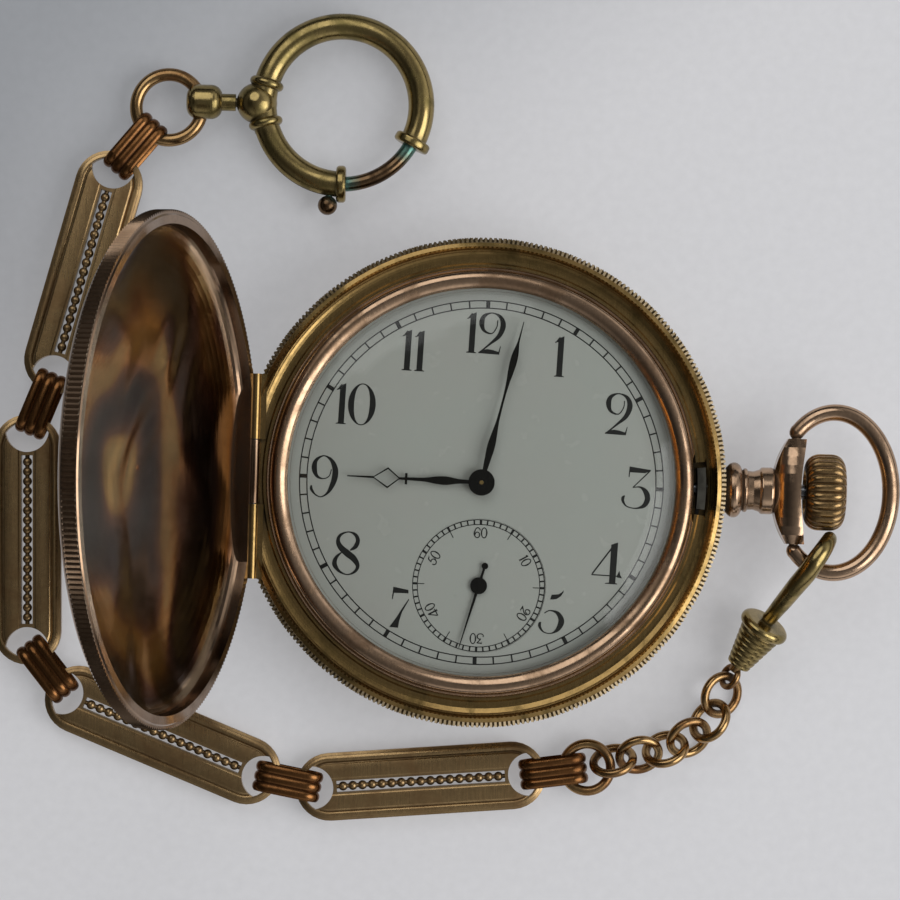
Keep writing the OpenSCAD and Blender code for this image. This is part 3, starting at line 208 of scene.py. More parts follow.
def off_middle_line(tree, mm, x, y, turn, half_long):
    """How far a point lies from a plate's middle line, as a share of 4 mm."""
    along = (*polar(turn), 0)
    off = add(tree, "ShaderNodeVectorMath", {0: mm, 1: (x, y, 0)}, operation="SUBTRACT")
    ahead = add(tree, "ShaderNodeVectorMath", {0: off, 1: along}, operation="DOT_PRODUCT")
    held = add(tree, "ShaderNodeClamp", {0: ahead, 1: -half_long, 2: half_long})
    foot = add(tree, "ShaderNodeVectorMath", {0: along, "Scale": held}, operation="SCALE")
    aside = add(tree, "ShaderNodeVectorMath", {0: off, 1: foot}, operation="SUBTRACT")
    level = add(tree, "ShaderNodeVectorMath", {0: aside, 1: (1, 1, 0)}, operation="MULTIPLY")
    far = add(tree, "ShaderNodeVectorMath", {0: level}, operation="LENGTH")
    return add(tree, "ShaderNodeMath", {0: far, 1: 0.25}, operation="MULTIPLY")


print("groove stops", len(SOOT_AND_SHADE), "and", len(RELIEF))

# %% Tarnish inside the lid
TARNISH_AND_REFLECTION = ((0, "#34170A"), (0.35, "#4E250E"), (0.66, "#74411A"), (0.85, "#A87634"), (1, "#B88C4C"))


def tarnished(tree, mm, worn, centre, inner, outer, eddy, mouth):
    """Bands of tarnish and painted reflection deep in a bowl, darkened as painted shade on the side of its
    hinge.
    """
    away = add(tree, "ShaderNodeVectorMath", {0: mm, 1: centre}, operation="DISTANCE")
    deep = add(tree, "ShaderNodeMapRange", {0: away, 1: inner, 2: outer, 3: 1.0, 4: 0.0},
               interpolation_type="SMOOTHSTEP")
    normal = add(tree, "ShaderNodeTexCoord").outputs["Normal"]
    faces = add(tree, "ShaderNodeVectorMath", {0: normal, 1: mouth}, operation="DOT_PRODUCT")
    inside = add(tree, "ShaderNodeMapRange", {0: faces, 1: 0.0, 2: 0.12})
    both = add(tree, "ShaderNodeMath", {0: deep, 1: inside}, operation="MULTIPLY")
    round_eddy = add(tree, "ShaderNodeVectorMath", {0: mm, 1: eddy}, operation="SUBTRACT")
    bands = add(tree, "ShaderNodeTexWave", {"Vector": round_eddy, "Scale": 0.027, "Distortion": 4.0,
                                            "Detail": 0.8, "Detail Scale": 2.6},
                wave_type="RINGS", rings_direction="SPHERICAL")
    tarnish_and_reflection = add(tree, "ShaderNodeValToRGB", {0: bands.outputs["Fac"]}, stops=TARNISH_AND_REFLECTION)
    # Painted shade: the bands darken towards the hinge side of the bowl
    across = add(tree, "ShaderNodeSeparateXYZ", {0: mm}).outputs["X"]
    lit = add(tree, "ShaderNodeMapRange", {0: across, 1: -37, 2: -28, 3: 1.0, 4: 0.22})
    shaded = add(tree, "ShaderNodeVectorMath", {0: tarnish_and_reflection, "Scale": lit}, operation="SCALE")
    return add(tree, "ShaderNodeMix", {0: both, 6: worn, 7: shaded}, data_type="RGBA")


print("tarnish stops", len(TARNISH_AND_REFLECTION))

# %% [markdown]
# ## Worn gold and brass
# The case is rolled gold over brass, and the chain is gilt brass. Rolling and polishing leave a bright skin
# with fine hairlines; a century in a pocket adds broad stains, dull patches and a dark film where no cloth
# reaches. So each metal mixes a clean colour, a stain in blotches of some millimetres, and a dark film in the
# corners that is partly grime and partly painted shade, and its roughness follows the same masks. One
# function makes them all, because only the colours and the sizes of the marks differ.


# %% Metal finish
def aged_metal(name, clean, stain, film, blotch=7.0, stained=0.5, reach=0.7, filmed=0.8, gloss=0.18,
               dull=0.42, wave=0.0, wave_mm=14.0, bowl=None, green=(), strip=None):
    metal, tree, shade, mm = bare_finish(name)
    broad = add(tree, "ShaderNodeTexNoise", {"Vector": mm, "Scale": 1 / blotch, "Detail": 5.0,
                                             "Roughness": 0.62, "Distortion": 0.6})
    patch = add(tree, "ShaderNodeMapRange", {0: broad, 1: 0.42, 2: 0.68, 3: 0.0, 4: stained},
                interpolation_type="SMOOTHSTEP")
    fine = add(tree, "ShaderNodeTexNoise", {"Vector": mm, "Scale": 2.2, "Detail": 6.0, "Roughness": 0.7})
    # Hairlines from wiping: noise drawn out along one direction, 0.15 mm apart
    wiped = add(tree, "ShaderNodeMapping", {"Vector": mm, "Rotation": (0.2, 0.3, 0.6),
                                            "Scale": (7.0, 0.35, 5.0)})
    hair = add(tree, "ShaderNodeTexNoise", {"Vector": wiped, "Scale": 1.0, "Detail": 2.0})
    # The dark film gathers where the surface is closed in: grime, and painted shade with it
    open_sky = add(tree, "ShaderNodeAmbientOcclusion", {"Distance": reach * MM}, samples=6).outputs["AO"]
    closed = add(tree, "ShaderNodeMapRange", {0: open_sky, 1: 0.95, 2: 0.35, 3: 0.0, 4: filmed})
    broken = add(tree, "ShaderNodeMapRange", {0: fine, 1: 0.3, 2: 0.62, 3: 0.45, 4: 1.1})
    film_and_shade_mask = add(tree, "ShaderNodeMath", {0: closed, 1: broken}, operation="MULTIPLY", use_clamp=True)
    if strip:
        share = off_middle_line(tree, mm, *strip)
        soot_and_shade = add(tree, "ShaderNodeValToRGB", {0: share}, stops=SOOT_AND_SHADE)
        film_and_shade_mask = add(tree, "ShaderNodeMath", {0: film_and_shade_mask, 1: soot_and_shade}, operation="MAXIMUM")
    worn = add(tree, "ShaderNodeMix", {0: patch, 6: clean, 7: stain}, data_type="RGBA")
    if bowl:
        worn = tarnished(tree, mm, worn, *bowl)
    freckle = add(tree, "ShaderNodeMapRange", {0: fine, 1: 0.25, 2: 0.75, 3: 0.82, 4: 1.12})
    mottled = add(tree, "ShaderNodeVectorMath", {0: worn, "Scale": freckle}, operation="SCALE")
    # Grime and painted shade darken the closed-in corners towards the film colour
    coloured = add(tree, "ShaderNodeMix", {0: film_and_shade_mask, 6: mottled, 7: film}, data_type="RGBA")
    for spot in green:
        # Verdigris creeps out from a joint where damp stands
        away = add(tree, "ShaderNodeVectorMath", {0: mm, 1: spot}, operation="DISTANCE")
        near = add(tree, "ShaderNodeMapRange", {0: away, 1: 0.8, 2: 2.6, 3: 1.0, 4: 0.0})
        crust = add(tree, "ShaderNodeMath", {0: near, 1: broken}, operation="MULTIPLY", use_clamp=True)
        coloured = add(tree, "ShaderNodeMix", {0: crust, 6: coloured, 7: "#56837A"}, data_type="RGBA")
    bright = add(tree, "ShaderNodeMapRange", {0: film_and_shade_mask, 1: 0.0, 2: 1.0, 3: 1.0, 4: 0.35})
    haze = add(tree, "ShaderNodeMath", {0: patch, 1: film_and_shade_mask}, operation="ADD", use_clamp=True)
    rough = add(tree, "ShaderNodeMapRange", {0: haze, 1: 0.0, 2: 1.0, 3: gloss, 4: dull})
    scuffed = add(tree, "ShaderNodeMath", {0: hair, 1: 0.16, 2: rough}, operation="MULTIPLY_ADD")
    eased = add(tree, "ShaderNodeMath", {0: scuffed, 1: -0.08}, operation="ADD")
    uneven = add(tree, "ShaderNodeMath", {0: fine, 1: 0.5, 2: hair}, operation="MULTIPLY_ADD")
    skin = add(tree, "ShaderNodeBump", {"Strength": 0.35, "Distance": 0.006 * MM, "Height": uneven})
    if strip:
        edge = add(tree, "ShaderNodeValToRGB", {0: share}, stops=RELIEF)
        edge.color_ramp.interpolation = "B_SPLINE"
        skin = add(tree, "ShaderNodeBump", {"Strength": 1.0, "Distance": 0.5 * MM, "Height": edge,
                                            "Normal": skin})
    elif wave:
        # Thin sheet is never quite true: a slow wave bends what it mirrors
        slow = add(tree, "ShaderNodeTexNoise", {"Vector": mm, "Scale": 1 / wave_mm, "Detail": 1.0,
                                                "Distortion": 0.8})
        skin = add(tree, "ShaderNodeBump", {"Strength": 1.0, "Distance": wave * MM, "Height": slow,
                                            "Normal": skin})
    wire(tree, shade, {"Base Color": coloured, "Metallic": bright, "Roughness": eased, "Normal": skin})
    return metal


print("metal finish ready")

# %% The metals
LID_BOWL = ((-30.95, 0, 33.6), 23.3, 24.3, (-43, -2, 36), (0.9588, 0, 0.284))
BOLT_ENDS = ((-8.5, 36.4, 2.45), (-16.2, 31.9, 2.45))
METALS = {
    # Rolled gold worn towards its brass: a dull, greenish yellow
    "rolled_gold": ("#9C8050", "#453B20", "#15140C", dict(blotch=6, stained=0.85)),
    # Gold rolled with more copper: pink, and brighter because it is wiped with the glass
    "rose_gold": ("#BA9C80", "#6C543E", "#1C120A", dict(blotch=5, stained=0.7, gloss=0.16)),
    # The same gold on thin sheet, smooth enough to mirror in soft shapes
    "lid_gold": ("#A0866E", "#70563F", "#160B05", dict(blotch=9, stained=0.6, gloss=0.14, dull=0.24, wave=0.9,
                                                       wave_mm=16, bowl=LID_BOWL)),
    # Cast and turned brass that has lost its gilding: olive with age
    "olive_brass": ("#A08C5C", "#5E5630", "#1D1A10", dict(blotch=4, stained=0.7)),
    # The crests of the coin edge, kept bright by rubbing
    "edge_gold": ("#E4CCA4", "#A08A5E", "#15140C", dict(blotch=6, stained=0.6)),
    # Strip brass worn to its copper: reddish brown ribs
    "copper_band": ("#805834", "#4E3019", "#1A110A", dict(blotch=3, stained=0.7, gloss=0.24)),
    # Drawn and gilt wire of the small rings
    "gilt_chain": ("#A5855A", "#6C4426", "#1A110A", dict(blotch=5, stained=0.75)),
    # The bolt slides bare in its ring, so it is brown, with verdigris at its two ends
    "bolt_brass": ("#6E5840", "#3A2A1C", "#14100B", dict(blotch=2, stained=0.8, green=BOLT_ENDS)),
    # Knurled brass with a full film of grime and painted shade between its ridges
    "crown_brass": ("#A4865C", "#5A4426", "#160F08", dict(blotch=3, stained=0.7, filmed=1.0)),
    # Steel heated until it blues, then burnt on nearly to black
    "blued_steel": ("#2A2925", "#1C1A18", "#0A0908", dict(blotch=2, stained=0.5, gloss=0.3, dull=0.5)),
    # Wheels of the movement, kept clean behind the dial
    "gilt_wheel": ("#D8B878", "#B8935A", "#4A3820", dict(blotch=3, stained=0.3, reach=0.3, filmed=0.5)),
    # Ground grey steel of pins, springs and screws
    "spring_steel": ("#8E9094", "#5E5E60", "#1C1C1C", dict(blotch=3, stained=0.4, reach=0.4)),
    # Nickel on the plates of the movement, pale and warm
    "damask_nickel": ("#C9C6BE", "#A8A49A", "#4A4842", dict(blotch=5, stained=0.25, reach=0.4, filmed=0.5)),
}
# The plate links are gilt strip, stamped. They lie at these places (x, y) and turns, and each one's finish
# follows its own middle line.
PLATES = [(-5.6, -32.3, 185.2), (-33.6, -28.1, 158.7), (-48.8, -7.4, 91.6), (-43.55, 21.65, 75.4)]
PLATE_LONG, PLATE_WIDE = 27.0, 7.3
for number, place in enumerate(PLATES, 1):
    METALS["plate_gilt_%d" % number] = ("#B4966A", "#77583A", "#1A110A", dict(
        blotch=6, stained=0.6, gloss=0.26, strip=(*place, (PLATE_LONG - PLATE_WIDE) / 2)))
finishes = {name: aged_metal(name, *colours, **more) for name, (*colours, more) in METALS.items()}
print("metals", sorted(finishes))

# %% [markdown]
# ## Enamel, print, nickel and glass
# The dial is white vitreous enamel fired on copper: glossy and slightly uneven, and its white is greyed as
# painted shade. Its print is fired black. The movement's plates are nickel with damask stripes from a turning
# tool. The crystal is a thin glass dome. Real refraction would cost much time and show little, so it is a
# clear sheet with a mirror gloss that grows towards its rim.

# %% Enamel
enamel, tree, shade, mm = bare_finish("white_enamel")
cloud = add(tree, "ShaderNodeTexNoise", {"Vector": mm, "Scale": 0.12, "Detail": 3.0})
# Painted shade: the white enamel is greyed all over
tone = add(tree, "ShaderNodeMix", {0: cloud, 6: "#B9BEB8", 7: "#BCBBB6"}, data_type="RGBA")
dust = add(tree, "ShaderNodeTexNoise", {"Vector": mm, "Scale": 1.6, "Detail": 2.0})
speck = add(tree, "ShaderNodeMapRange", {0: dust, 1: 0.74, 2: 0.8, 3: 0.0, 4: 0.25})
shaded_and_specked = add(tree, "ShaderNodeMix", {0: speck, 6: tone, 7: "#6F6C64"}, data_type="RGBA")
ripple = add(tree, "ShaderNodeTexNoise", {"Vector": mm, "Scale": 0.5, "Detail": 2.0})
gloss = add(tree, "ShaderNodeMapRange", {0: ripple, 1: 0.2, 2: 0.8, 3: 0.18, 4: 0.3})
uneven = add(tree, "ShaderNodeBump", {"Strength": 0.3, "Distance": 0.02 * MM, "Height": ripple})
wire(tree, shade, {"Base Color": shaded_and_specked, "Roughness": gloss, "Normal": uneven})
print("enamel", enamel.name)

# %% Print
ink, tree, shade, mm = bare_finish("fired_black_print")
thin = add(tree, "ShaderNodeTexNoise", {"Vector": mm, "Scale": 1.8, "Detail": 2.0})
tone = add(tree, "ShaderNodeMix", {0: thin, 6: "#0A0A08", 7: "#171714"}, data_type="RGBA")
wire(tree, shade, {"Base Color": tone, "Roughness": 0.35})
print("print", ink.name)

# %% Damask stripes
# Straight bands 2.2 mm apart slant across the plates, each with one sharp side
tree = finishes["damask_nickel"].node_tree
shade = tree.nodes["Principled BSDF"]
place = add(tree, "ShaderNodeTexCoord").outputs["Object"]
mm = add(tree, "ShaderNodeVectorMath", {0: place, "Scale": 1 / MM}, operation="SCALE")
stripe = add(tree, "ShaderNodeTexWave", {"Vector": mm, "Scale": 0.2, "Distortion": 0.0},
             wave_type="BANDS", bands_direction="DIAGONAL", wave_profile="SAW").outputs["Fac"]
cut = add(tree, "ShaderNodeBump", {"Strength": 0.6, "Distance": 0.05 * MM, "Height": stripe,
                                   "Normal": shade.inputs["Normal"].links[0].from_socket})
wire(tree, shade, {"Normal": cut})
print("stripes on", finishes["damask_nickel"].name)

# %% Crystal
glass, tree, shade, mm = bare_finish("watch_glass")
tree.nodes.remove(shade)
scuffs = add(tree, "ShaderNodeTexNoise", {"Vector": mm, "Scale": 0.7, "Detail": 4.0})
gloss = add(tree, "ShaderNodeMapRange", {0: scuffs, 1: 0.3, 2: 0.8, 3: 0.02, 4: 0.08})
facing = add(tree, "ShaderNodeFresnel", {"IOR": 1.5})
share = add(tree, "ShaderNodeMath", {0: facing, 1: 0.35}, operation="MULTIPLY", use_clamp=True)
clear = add(tree, "ShaderNodeBsdfTransparent", {"Color": "#FBFCFB"})
mirror = add(tree, "ShaderNodeBsdfGlossy", {"Color": "#FFFFFF", "Roughness": gloss})
sheet = add(tree, "ShaderNodeMixShader", {0: share, 1: clear, 2: mirror})
wire(tree, tree.nodes["Material Output"], {"Surface": sheet})
finishes.update(white_enamel=enamel, watch_glass=glass)
print("glass", glass.name)

# %% [markdown]
# ## Finishes on the solids
# Each CAD solid keeps its shape and takes its finish through its material slots, so the record's slots and
# the picture agree.

# %% Dress the solids
FINISH = {
    "rolled_gold": "case_centre back_lid cuvette",
    "rose_gold": "bezel pendant bow",
    "lid_gold": "front_lid",
    "crown_brass": "crown",
    "olive_brass": "swivel_hook swivel_barrel ball_swivel bolt_ring",
    "bolt_brass": "bolt_slide",
    "gilt_chain": "hook_gate swivel_eye ring_1 ring_2 ring_3 ring_4 ring_5 ring_6 ring_7 end_ring "
                  "connector_1 connector_2 connector_3 connector_4 connector_5",
    "plate_gilt_1": "plate_link_1",
    "plate_gilt_2": "plate_link_2",
    "plate_gilt_3": "plate_link_3",
    "plate_gilt_4": "plate_link_4",
    "white_enamel": "dial",
    "watch_glass": "crystal",
    "blued_steel": "hour_hand minute_hand seconds_hand cannon_pinion lock_spring",
    "damask_nickel": "mainplate barrel_bridge train_bridge balance_cock",
    "spring_steel": "front_hinge_pin back_hinge_pin winding_stem ratchet_wheel crown_wheel winding_arbor "
                    "escape_wheel pallet_fork hairspring movement_screws",
}
dressed = {node: finishes[finish] for finish, nodes in FINISH.items() for node in nodes.split()}
for node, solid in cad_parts.items():
    for index in range(len(solid.data.materials)):
        solid.data.materials[index] = dressed.get(node, finishes["gilt_wheel"])
print("dressed", len(dressed), "of", len(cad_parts), "nodes by name, the rest as gilt wheels")

# %% [markdown]
# ## The minute and seconds tracks
# The tracks are printed on the enamel: two hairline circles with a tick for each minute, heavier every
# five. Sixty ticks round a circle follow a rule, so Geometry Nodes set them out: a tick is a tiny block put
# on each point of a circle and turned to point outwards, and the circles are curves with a flat section.


# %% Patterns made by Geometry Nodes
def pattern_tree(name, *inputs):
    """A geometry tree with named inputs for its sizes."""
    tree = bpy.data.node_groups.new(name, "GeometryNodeTree")
    for label, kind, value in inputs:
        socket = tree.interface.new_socket(name=label, in_out="INPUT", socket_type="NodeSocket" + kind)
        if value is not None:
            socket.default_value = value
    tree.interface.new_socket(name="Geometry", in_out="OUTPUT", socket_type="NodeSocketGeometry")
    return tree, add(tree, "NodeGroupInput").outputs


def blocks_round(tree, circle, count, chosen, size, tilt=0.0):
    """A block on each chosen point of a circle, turned to point outwards."""
    step = add(tree, "ShaderNodeMath", {0: 2 * math.pi, 1: count}, operation="DIVIDE")
    index = add(tree, "GeometryNodeInputIndex")
    angle = add(tree, "ShaderNodeMath", {0: index, 1: step}, operation="MULTIPLY")
    turn = add(tree, "ShaderNodeCombineXYZ", {"Y": tilt, "Z": angle})
    block = add(tree, "GeometryNodeMeshCube", {"Size": size})
    return add(tree, "GeometryNodeInstanceOnPoints", {"Points": circle, "Instance": block,
                                                      "Selection": chosen, "Rotation": turn})


def end_pattern(tree, geometry, finish):
    whole = add(tree, "GeometryNodeRealizeInstances", {0: geometry})
    inked = add(tree, "GeometryNodeSetMaterial", {"Geometry": whole, "Material": finish})
    add(tree, "NodeGroupOutput", {0: inked})
    return tree


def made_by_nodes(name, tree, **given):
    """Runs the tree once and keeps its result as a plain mesh."""
    maker = in_scene(name + "_maker", bpy.data.meshes.new(name + "_maker"))
    nodes = maker.modifiers.new("nodes", "NODES")
    nodes.node_group = tree
    sockets = {s.name: s.identifier for s in tree.interface.items_tree if s.in_out == "INPUT"}
    for key, value in given.items():
        nodes[sockets[key.replace("_", " ")]] = value
    bpy.context.view_layer.update()
    seen = maker.evaluated_get(bpy.context.evaluated_depsgraph_get())
    mesh = bpy.data.meshes.new_from_object(seen)
    bpy.data.objects.remove(maker)
    mesh.name = name
    print(name, len(mesh.polygons), "faces in", [m.name for m in mesh.materials if m])
    return in_scene(name, mesh)


print("pattern helpers ready")


# %% Tree of the tracks
def track_tree():
    tree, given = pattern_tree(
        "railway_track", ("Outer radius", "Float", 19.3 * MM), ("Inner radius", "Float", 18.5 * MM),
        ("Line width", "Float", 0.1 * MM), ("Tick width", "Float", 0.15 * MM),
        ("Heavy tick width", "Float", 0.3 * MM), ("Thickness", "Float", 0.02 * MM),
        ("Ticks", "Int", 60), ("Heavy every", "Int", 5), ("Finish", "Material", None))
    outer, inner, thickness = given["Outer radius"], given["Inner radius"], given["Thickness"]
    section = add(tree, "GeometryNodeCurvePrimitiveQuadrilateral", {"Width": given["Line width"],
                                                                    "Height": thickness})
    merged = add(tree, "GeometryNodeJoinGeometry")
    for radius in (outer, inner):
        loop = add(tree, "GeometryNodeCurvePrimitiveCircle", {"Resolution": 180, "Radius": radius})
        line = add(tree, "GeometryNodeCurveToMesh", {"Curve": loop, "Profile Curve": section})
        wire(tree, merged, {0: line})
    total = add(tree, "ShaderNodeMath", {0: outer, 1: inner}, operation="ADD")
    middle = add(tree, "ShaderNodeMath", {0: total, 1: 0.5}, operation="MULTIPLY")
    length = add(tree, "ShaderNodeMath", {0: outer, 1: inner}, operation="SUBTRACT")
    circle = add(tree, "GeometryNodeMeshCircle", {"Vertices": given["Ticks"], "Radius": middle})
    index = add(tree, "GeometryNodeInputIndex")
    beat = add(tree, "ShaderNodeMath", {0: index, 1: given["Heavy every"]}, operation="MODULO")
    heavy = add(tree, "ShaderNodeMath", {0: beat, 1: 0.5}, operation="LESS_THAN")
    light = add(tree, "ShaderNodeMath", {0: 1.0, 1: heavy}, operation="SUBTRACT")
    for width, chosen in (("Tick width", light), ("Heavy tick width", heavy)):
        size = add(tree, "ShaderNodeCombineXYZ", {"X": length, "Y": given[width], "Z": thickness})
        wire(tree, merged, {0: blocks_round(tree, circle, given["Ticks"], chosen, size)})
    return end_pattern(tree, merged, given["Finish"])


tree = track_tree()
print("inputs", [socket.name for socket in tree.interface.items_tree if socket.in_out == "INPUT"])


# %% Tracks printed on the dial
def printed_track(name, tree, centre, **sizes):
    piece = made_by_nodes(name, tree, Finish=ink, **{key: size * MM for key, size in sizes.items()})
    turn = Matrix.Rotation(math.radians(PRINT_TURN), 4, "Z")
    piece.data.transform(Matrix.Translation(Vector(centre) * MM) @ turn)
    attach(piece, "case")


DIAL_Z, SUNK_Z, SECONDS_Y, PRINT_TURN, LIFT = 9.3, 9.14, -10.95, -0.6, 0.008
printed_track("minute_track", tree, (0, 0, DIAL_Z + LIFT), Outer_radius=19.3, Inner_radius=18.52,
              Line_width=0.12, Tick_width=0.16, Heavy_tick_width=0.42)
printed_track("seconds_track", tree, (0, SECONDS_Y, SUNK_Z + LIFT), Outer_radius=7.0, Inner_radius=6.5,
              Line_width=0.09, Tick_width=0.16, Heavy_tick_width=0.25)

# %% [markdown]
# ## The numerals
# They are plain upright figures of the fat-and-thin kind: thick stems, hairline joins, curled ends. No font
# at hand has that look, so each figure is drawn as a pen would: strokes along a line whose width swells
# and thins, and a few straight-edged blocks. Sizes are in millimetres for a figure 4.4 mm tall.

# %% Figures as strokes (x, y, half width) and blocks (x, y)
STROKES = {
    "0": [[(1.43 + 1.15 * math.cos(a), 2.22 + 2.17 * math.sin(a), 0.045 + 0.235 * abs(math.cos(a)) ** 2.2)
           for a in [2 * math.pi * i / 24 for i in range(25)]]],
    "1": [[(0.02, 3.62, 0.03), (0.22, 3.72, 0.07), (0.42, 3.92, 0.12), (0.62, 4.15, 0.14)]],
    "2": [[(1.92, 3.64, 0.04), (1.86, 2.9, 0.04), (1.37, 2.2, 0.05), (0.55, 2.45, 0.13), (0.25, 3.27, 0.24),
           (0.48, 4.01, 0.17), (1.29, 4.37, 0.05), (2.18, 4.01, 0.16), (2.53, 3.12, 0.25), (2.18, 2.01, 0.2),
           (1.29, 1.11, 0.1), (0.48, 0.37, 0.06), (0.1, 0.1, 0.04)]],
    "3": [[(2.84, 4.13, 0.05), (1.13, 2.27, 0.05)],
          [(1.09, 2.24, 0.04), (1.86, 2.33, 0.08), (2.46, 1.91, 0.22), (2.74, 1.17, 0.26), (2.45, 0.45, 0.2),
           (1.86, 0.12, 0.09), (1.22, 0.06, 0.05), (0.53, 0.24, 0.06), (0.15, 0.73, 0.12), (0.13, 1.1, 0.14),
           (0.3, 1.33, 0.05)]],
    "4": [[(2.32, 4.31, 0.07), (0.08, 0.97, 0.07)], [(0.0, 0.88, 0.055), (3.16, 0.88, 0.055)]],
    "5": [[(0.55, 2.16, 0.05), (0.97, 2.43, 0.05), (1.46, 2.44, 0.08), (1.98, 2.22, 0.17), (2.35, 1.67, 0.25),
           (2.37, 1.16, 0.27), (2.07, 0.52, 0.19), (1.58, 0.13, 0.07), (1.03, 0.04, 0.05), (0.52, 0.21, 0.07),
           (0.18, 0.64, 0.12), (0.13, 1.0, 0.13), (0.25, 1.19, 0.05)]],
    "8": [[(1.76, 2.64, 0.05), (2.3, 3.04, 0.19), (2.53, 3.72, 0.19), (2.23, 4.32, 0.15), (1.49, 4.57, 0.055),
           (0.68, 4.22, 0.12), (0.43, 3.58, 0.18), (0.74, 2.91, 0.26), (1.49, 2.3, 0.31), (2.23, 1.76, 0.28),
           (2.68, 1.04, 0.18), (2.39, 0.38, 0.12), (1.62, 0.05, 0.055), (0.78, 0.34, 0.12),
           (0.23, 1.04, 0.22), (0.34, 1.76, 0.16), (0.88, 2.36, 0.055)]],
    "9": [[(2.23, 3.04, 0.04), (2.03, 2.3, 0.04), (1.42, 1.99, 0.05), (0.74, 2.23, 0.14), (0.41, 3.04, 0.25),
           (0.57, 3.92, 0.16), (1.35, 4.42, 0.055), (2.16, 4.01, 0.16), (2.62, 3.11, 0.26),
           (2.62, 2.09, 0.27), (2.3, 1.08, 0.2), (1.89, 0.41, 0.1), (1.28, 0.05, 0.05), (0.68, 0.27, 0.07),
           (0.24, 0.81, 0.13), (0.22, 1.22, 0.07)]],
}
BLOCKS = {
    "1": [[(0.36, 0), (0.98, 0), (0.98, 4.35), (0.36, 4.05)],
          [(0.12, 0), (1.2, 0), (1.2, 0.07), (0.95, 0.16), (0.37, 0.16), (0.12, 0.07)]],
    "2": [[(0.03, 0.03), (2.3, 0), (2.43, 0.9), (2.36, 0.92), (2.2, 0.3), (1.55, 0.47), (1.0, 0.52),
           (0.55, 0.42)]],
    "3": [[(0.62, 4.46), (0.57, 3.32), (0.68, 3.32), (0.71, 3.84), (2.27, 3.84), (2.84, 4.05), (2.92, 4.21)]],
    "4": [[(1.92, 0.08), (2.6, 0.08), (2.62, 4.46), (1.9, 4.18)],
          [(2.71, 0.75), (3.29, 0.68), (3.08, 1.0), (2.95, 1.49), (2.71, 0.94)],
          [(1.5, 0), (2.8, 0), (2.8, 0.09), (2.56, 0.16), (1.96, 0.16), (1.5, 0.09)]],
    "5": [[(1.06, 3.64), (1.46, 3.66), (1.76, 3.74), (2.2, 4.07), (2.44, 4.5), (2.43, 4.71), (2.25, 4.47),
           (1.95, 4.26), (1.52, 4.19), (1.2, 4.16)]],
    "7": [[(0.16, 4.32), (0.09, 3.0), (0.19, 3.0), (0.27, 3.68), (1.81, 3.72), (1.78, 4.08)],
          [(0, 0.03), (0.93, 0), (1.04, 0.84), (1.27, 1.72), (1.93, 3.05), (1.86, 3.14), (1.18, 1.99),
           (0.7, 1.11)]],
}
STROKES["6"] = [[(2.95 - x, 4.45 - y, half) for x, y, half in line] for line in STROKES["9"]]
STROKES["5 small"] = STROKES["5"] + [[(1.15, 4.0, 0.05), (0.56, 2.15, 0.05)]]
BLOCKS["5 small"] = BLOCKS["5"]
WIDTH = {"0": 2.86, "1": 1.2, "2": 2.78, "3": 3.0, "4": 3.29, "5": 2.64, "5 small": 2.64, "6": 2.95,
         "7": 1.93, "8": 2.86, "9": 2.9}
print("figures", sorted(set(STROKES) | set(BLOCKS)))


# %% Pen
def smooth_line(points, steps=6):
    """A curve through all the points; two points alone stay a straight line."""
    if len(points) == 2:
        return [tuple(p) for p in points]
    ends = [points[0]] + list(points) + [points[-1]]
    line = []
    for i in range(1, len(ends) - 2):
        a, b, c, d = [Vector(p) for p in ends[i - 1:i + 3]]
        for k in range(steps):
            t = k / steps
            line.append(0.5 * (2 * b + (c - a) * t + (2 * a - 5 * b + 4 * c - d) * t ** 2 +
                               (3 * b - 3 * c + d - a) * t ** 3))
    return line + [Vector(points[-1])]


def bridge(bm, rows, closed=False):
    """Faces between neighbouring rows of corners; a row is a ring or a single point."""
    for a, b in zip(rows, rows[1:] + (rows[:1] if closed else [])):
        around = max(len(a), len(b))
        for k in range(around):
            m = (k + 1) % around
            face = [a[k % len(a)], a[m % len(a)], b[m % len(b)], b[k % len(b)]]
            bm.faces.new(list(dict.fromkeys(face)))


def ink_block(bm, corners, low, high):
    under = [bm.verts.new((x, y, low)) for x, y in corners]
    over = [bm.verts.new((x, y, high)) for x, y in corners]
    bm.faces.new(over)
    bm.faces.new(under[::-1])
    bridge(bm, [under, over])


def ink_stroke(bm, line, low, high):
    """A band along a line of (x, y, half width), from the height low to high."""
    closed = len(line) > 3 and (Vector(line[0][:2]) - Vector(line[-1][:2])).length < 1e-6
    rows = []
    for i, (x, y, half) in enumerate(line):
        before = line[i - 1] if i else (line[-2] if closed else line[0])
        after = line[i + 1] if i + 1 < len(line) else (line[1] if closed else line[-1])
        way = Vector((after[0] - before[0], after[1] - before[1])).normalized()
        left, right = (x - way.y * half, y + way.x * half), (x + way.y * half, y - way.x * half)
        corners = (*left, low), (*right, low), (*right, high), (*left, high)
        if not closed or i + 1 < len(line):
            rows.append([bm.verts.new(film_and_shade_mask) for film_and_shade_mask in corners])
    bridge(bm, rows, closed)
    if not closed:
        bm.faces.new(rows[0])
        bm.faces.new(rows[-1][::-1])


print("a curve through 3 points has", len(smooth_line([(0, 0), (1, 1), (2, 0)])), "points")


# %% Writing a number
# Strokes are printed a little bolder than drawn, and hairlines are kept wide enough to show in the picture
SWELL, LEAST_HALF = 1.15, 0.055
FIGURE_GAP, HALF_TALL, PRINT_THICK, LAYER, SUNK_IN = 0.14, 2.2, 0.018, 0.0004, 0.003


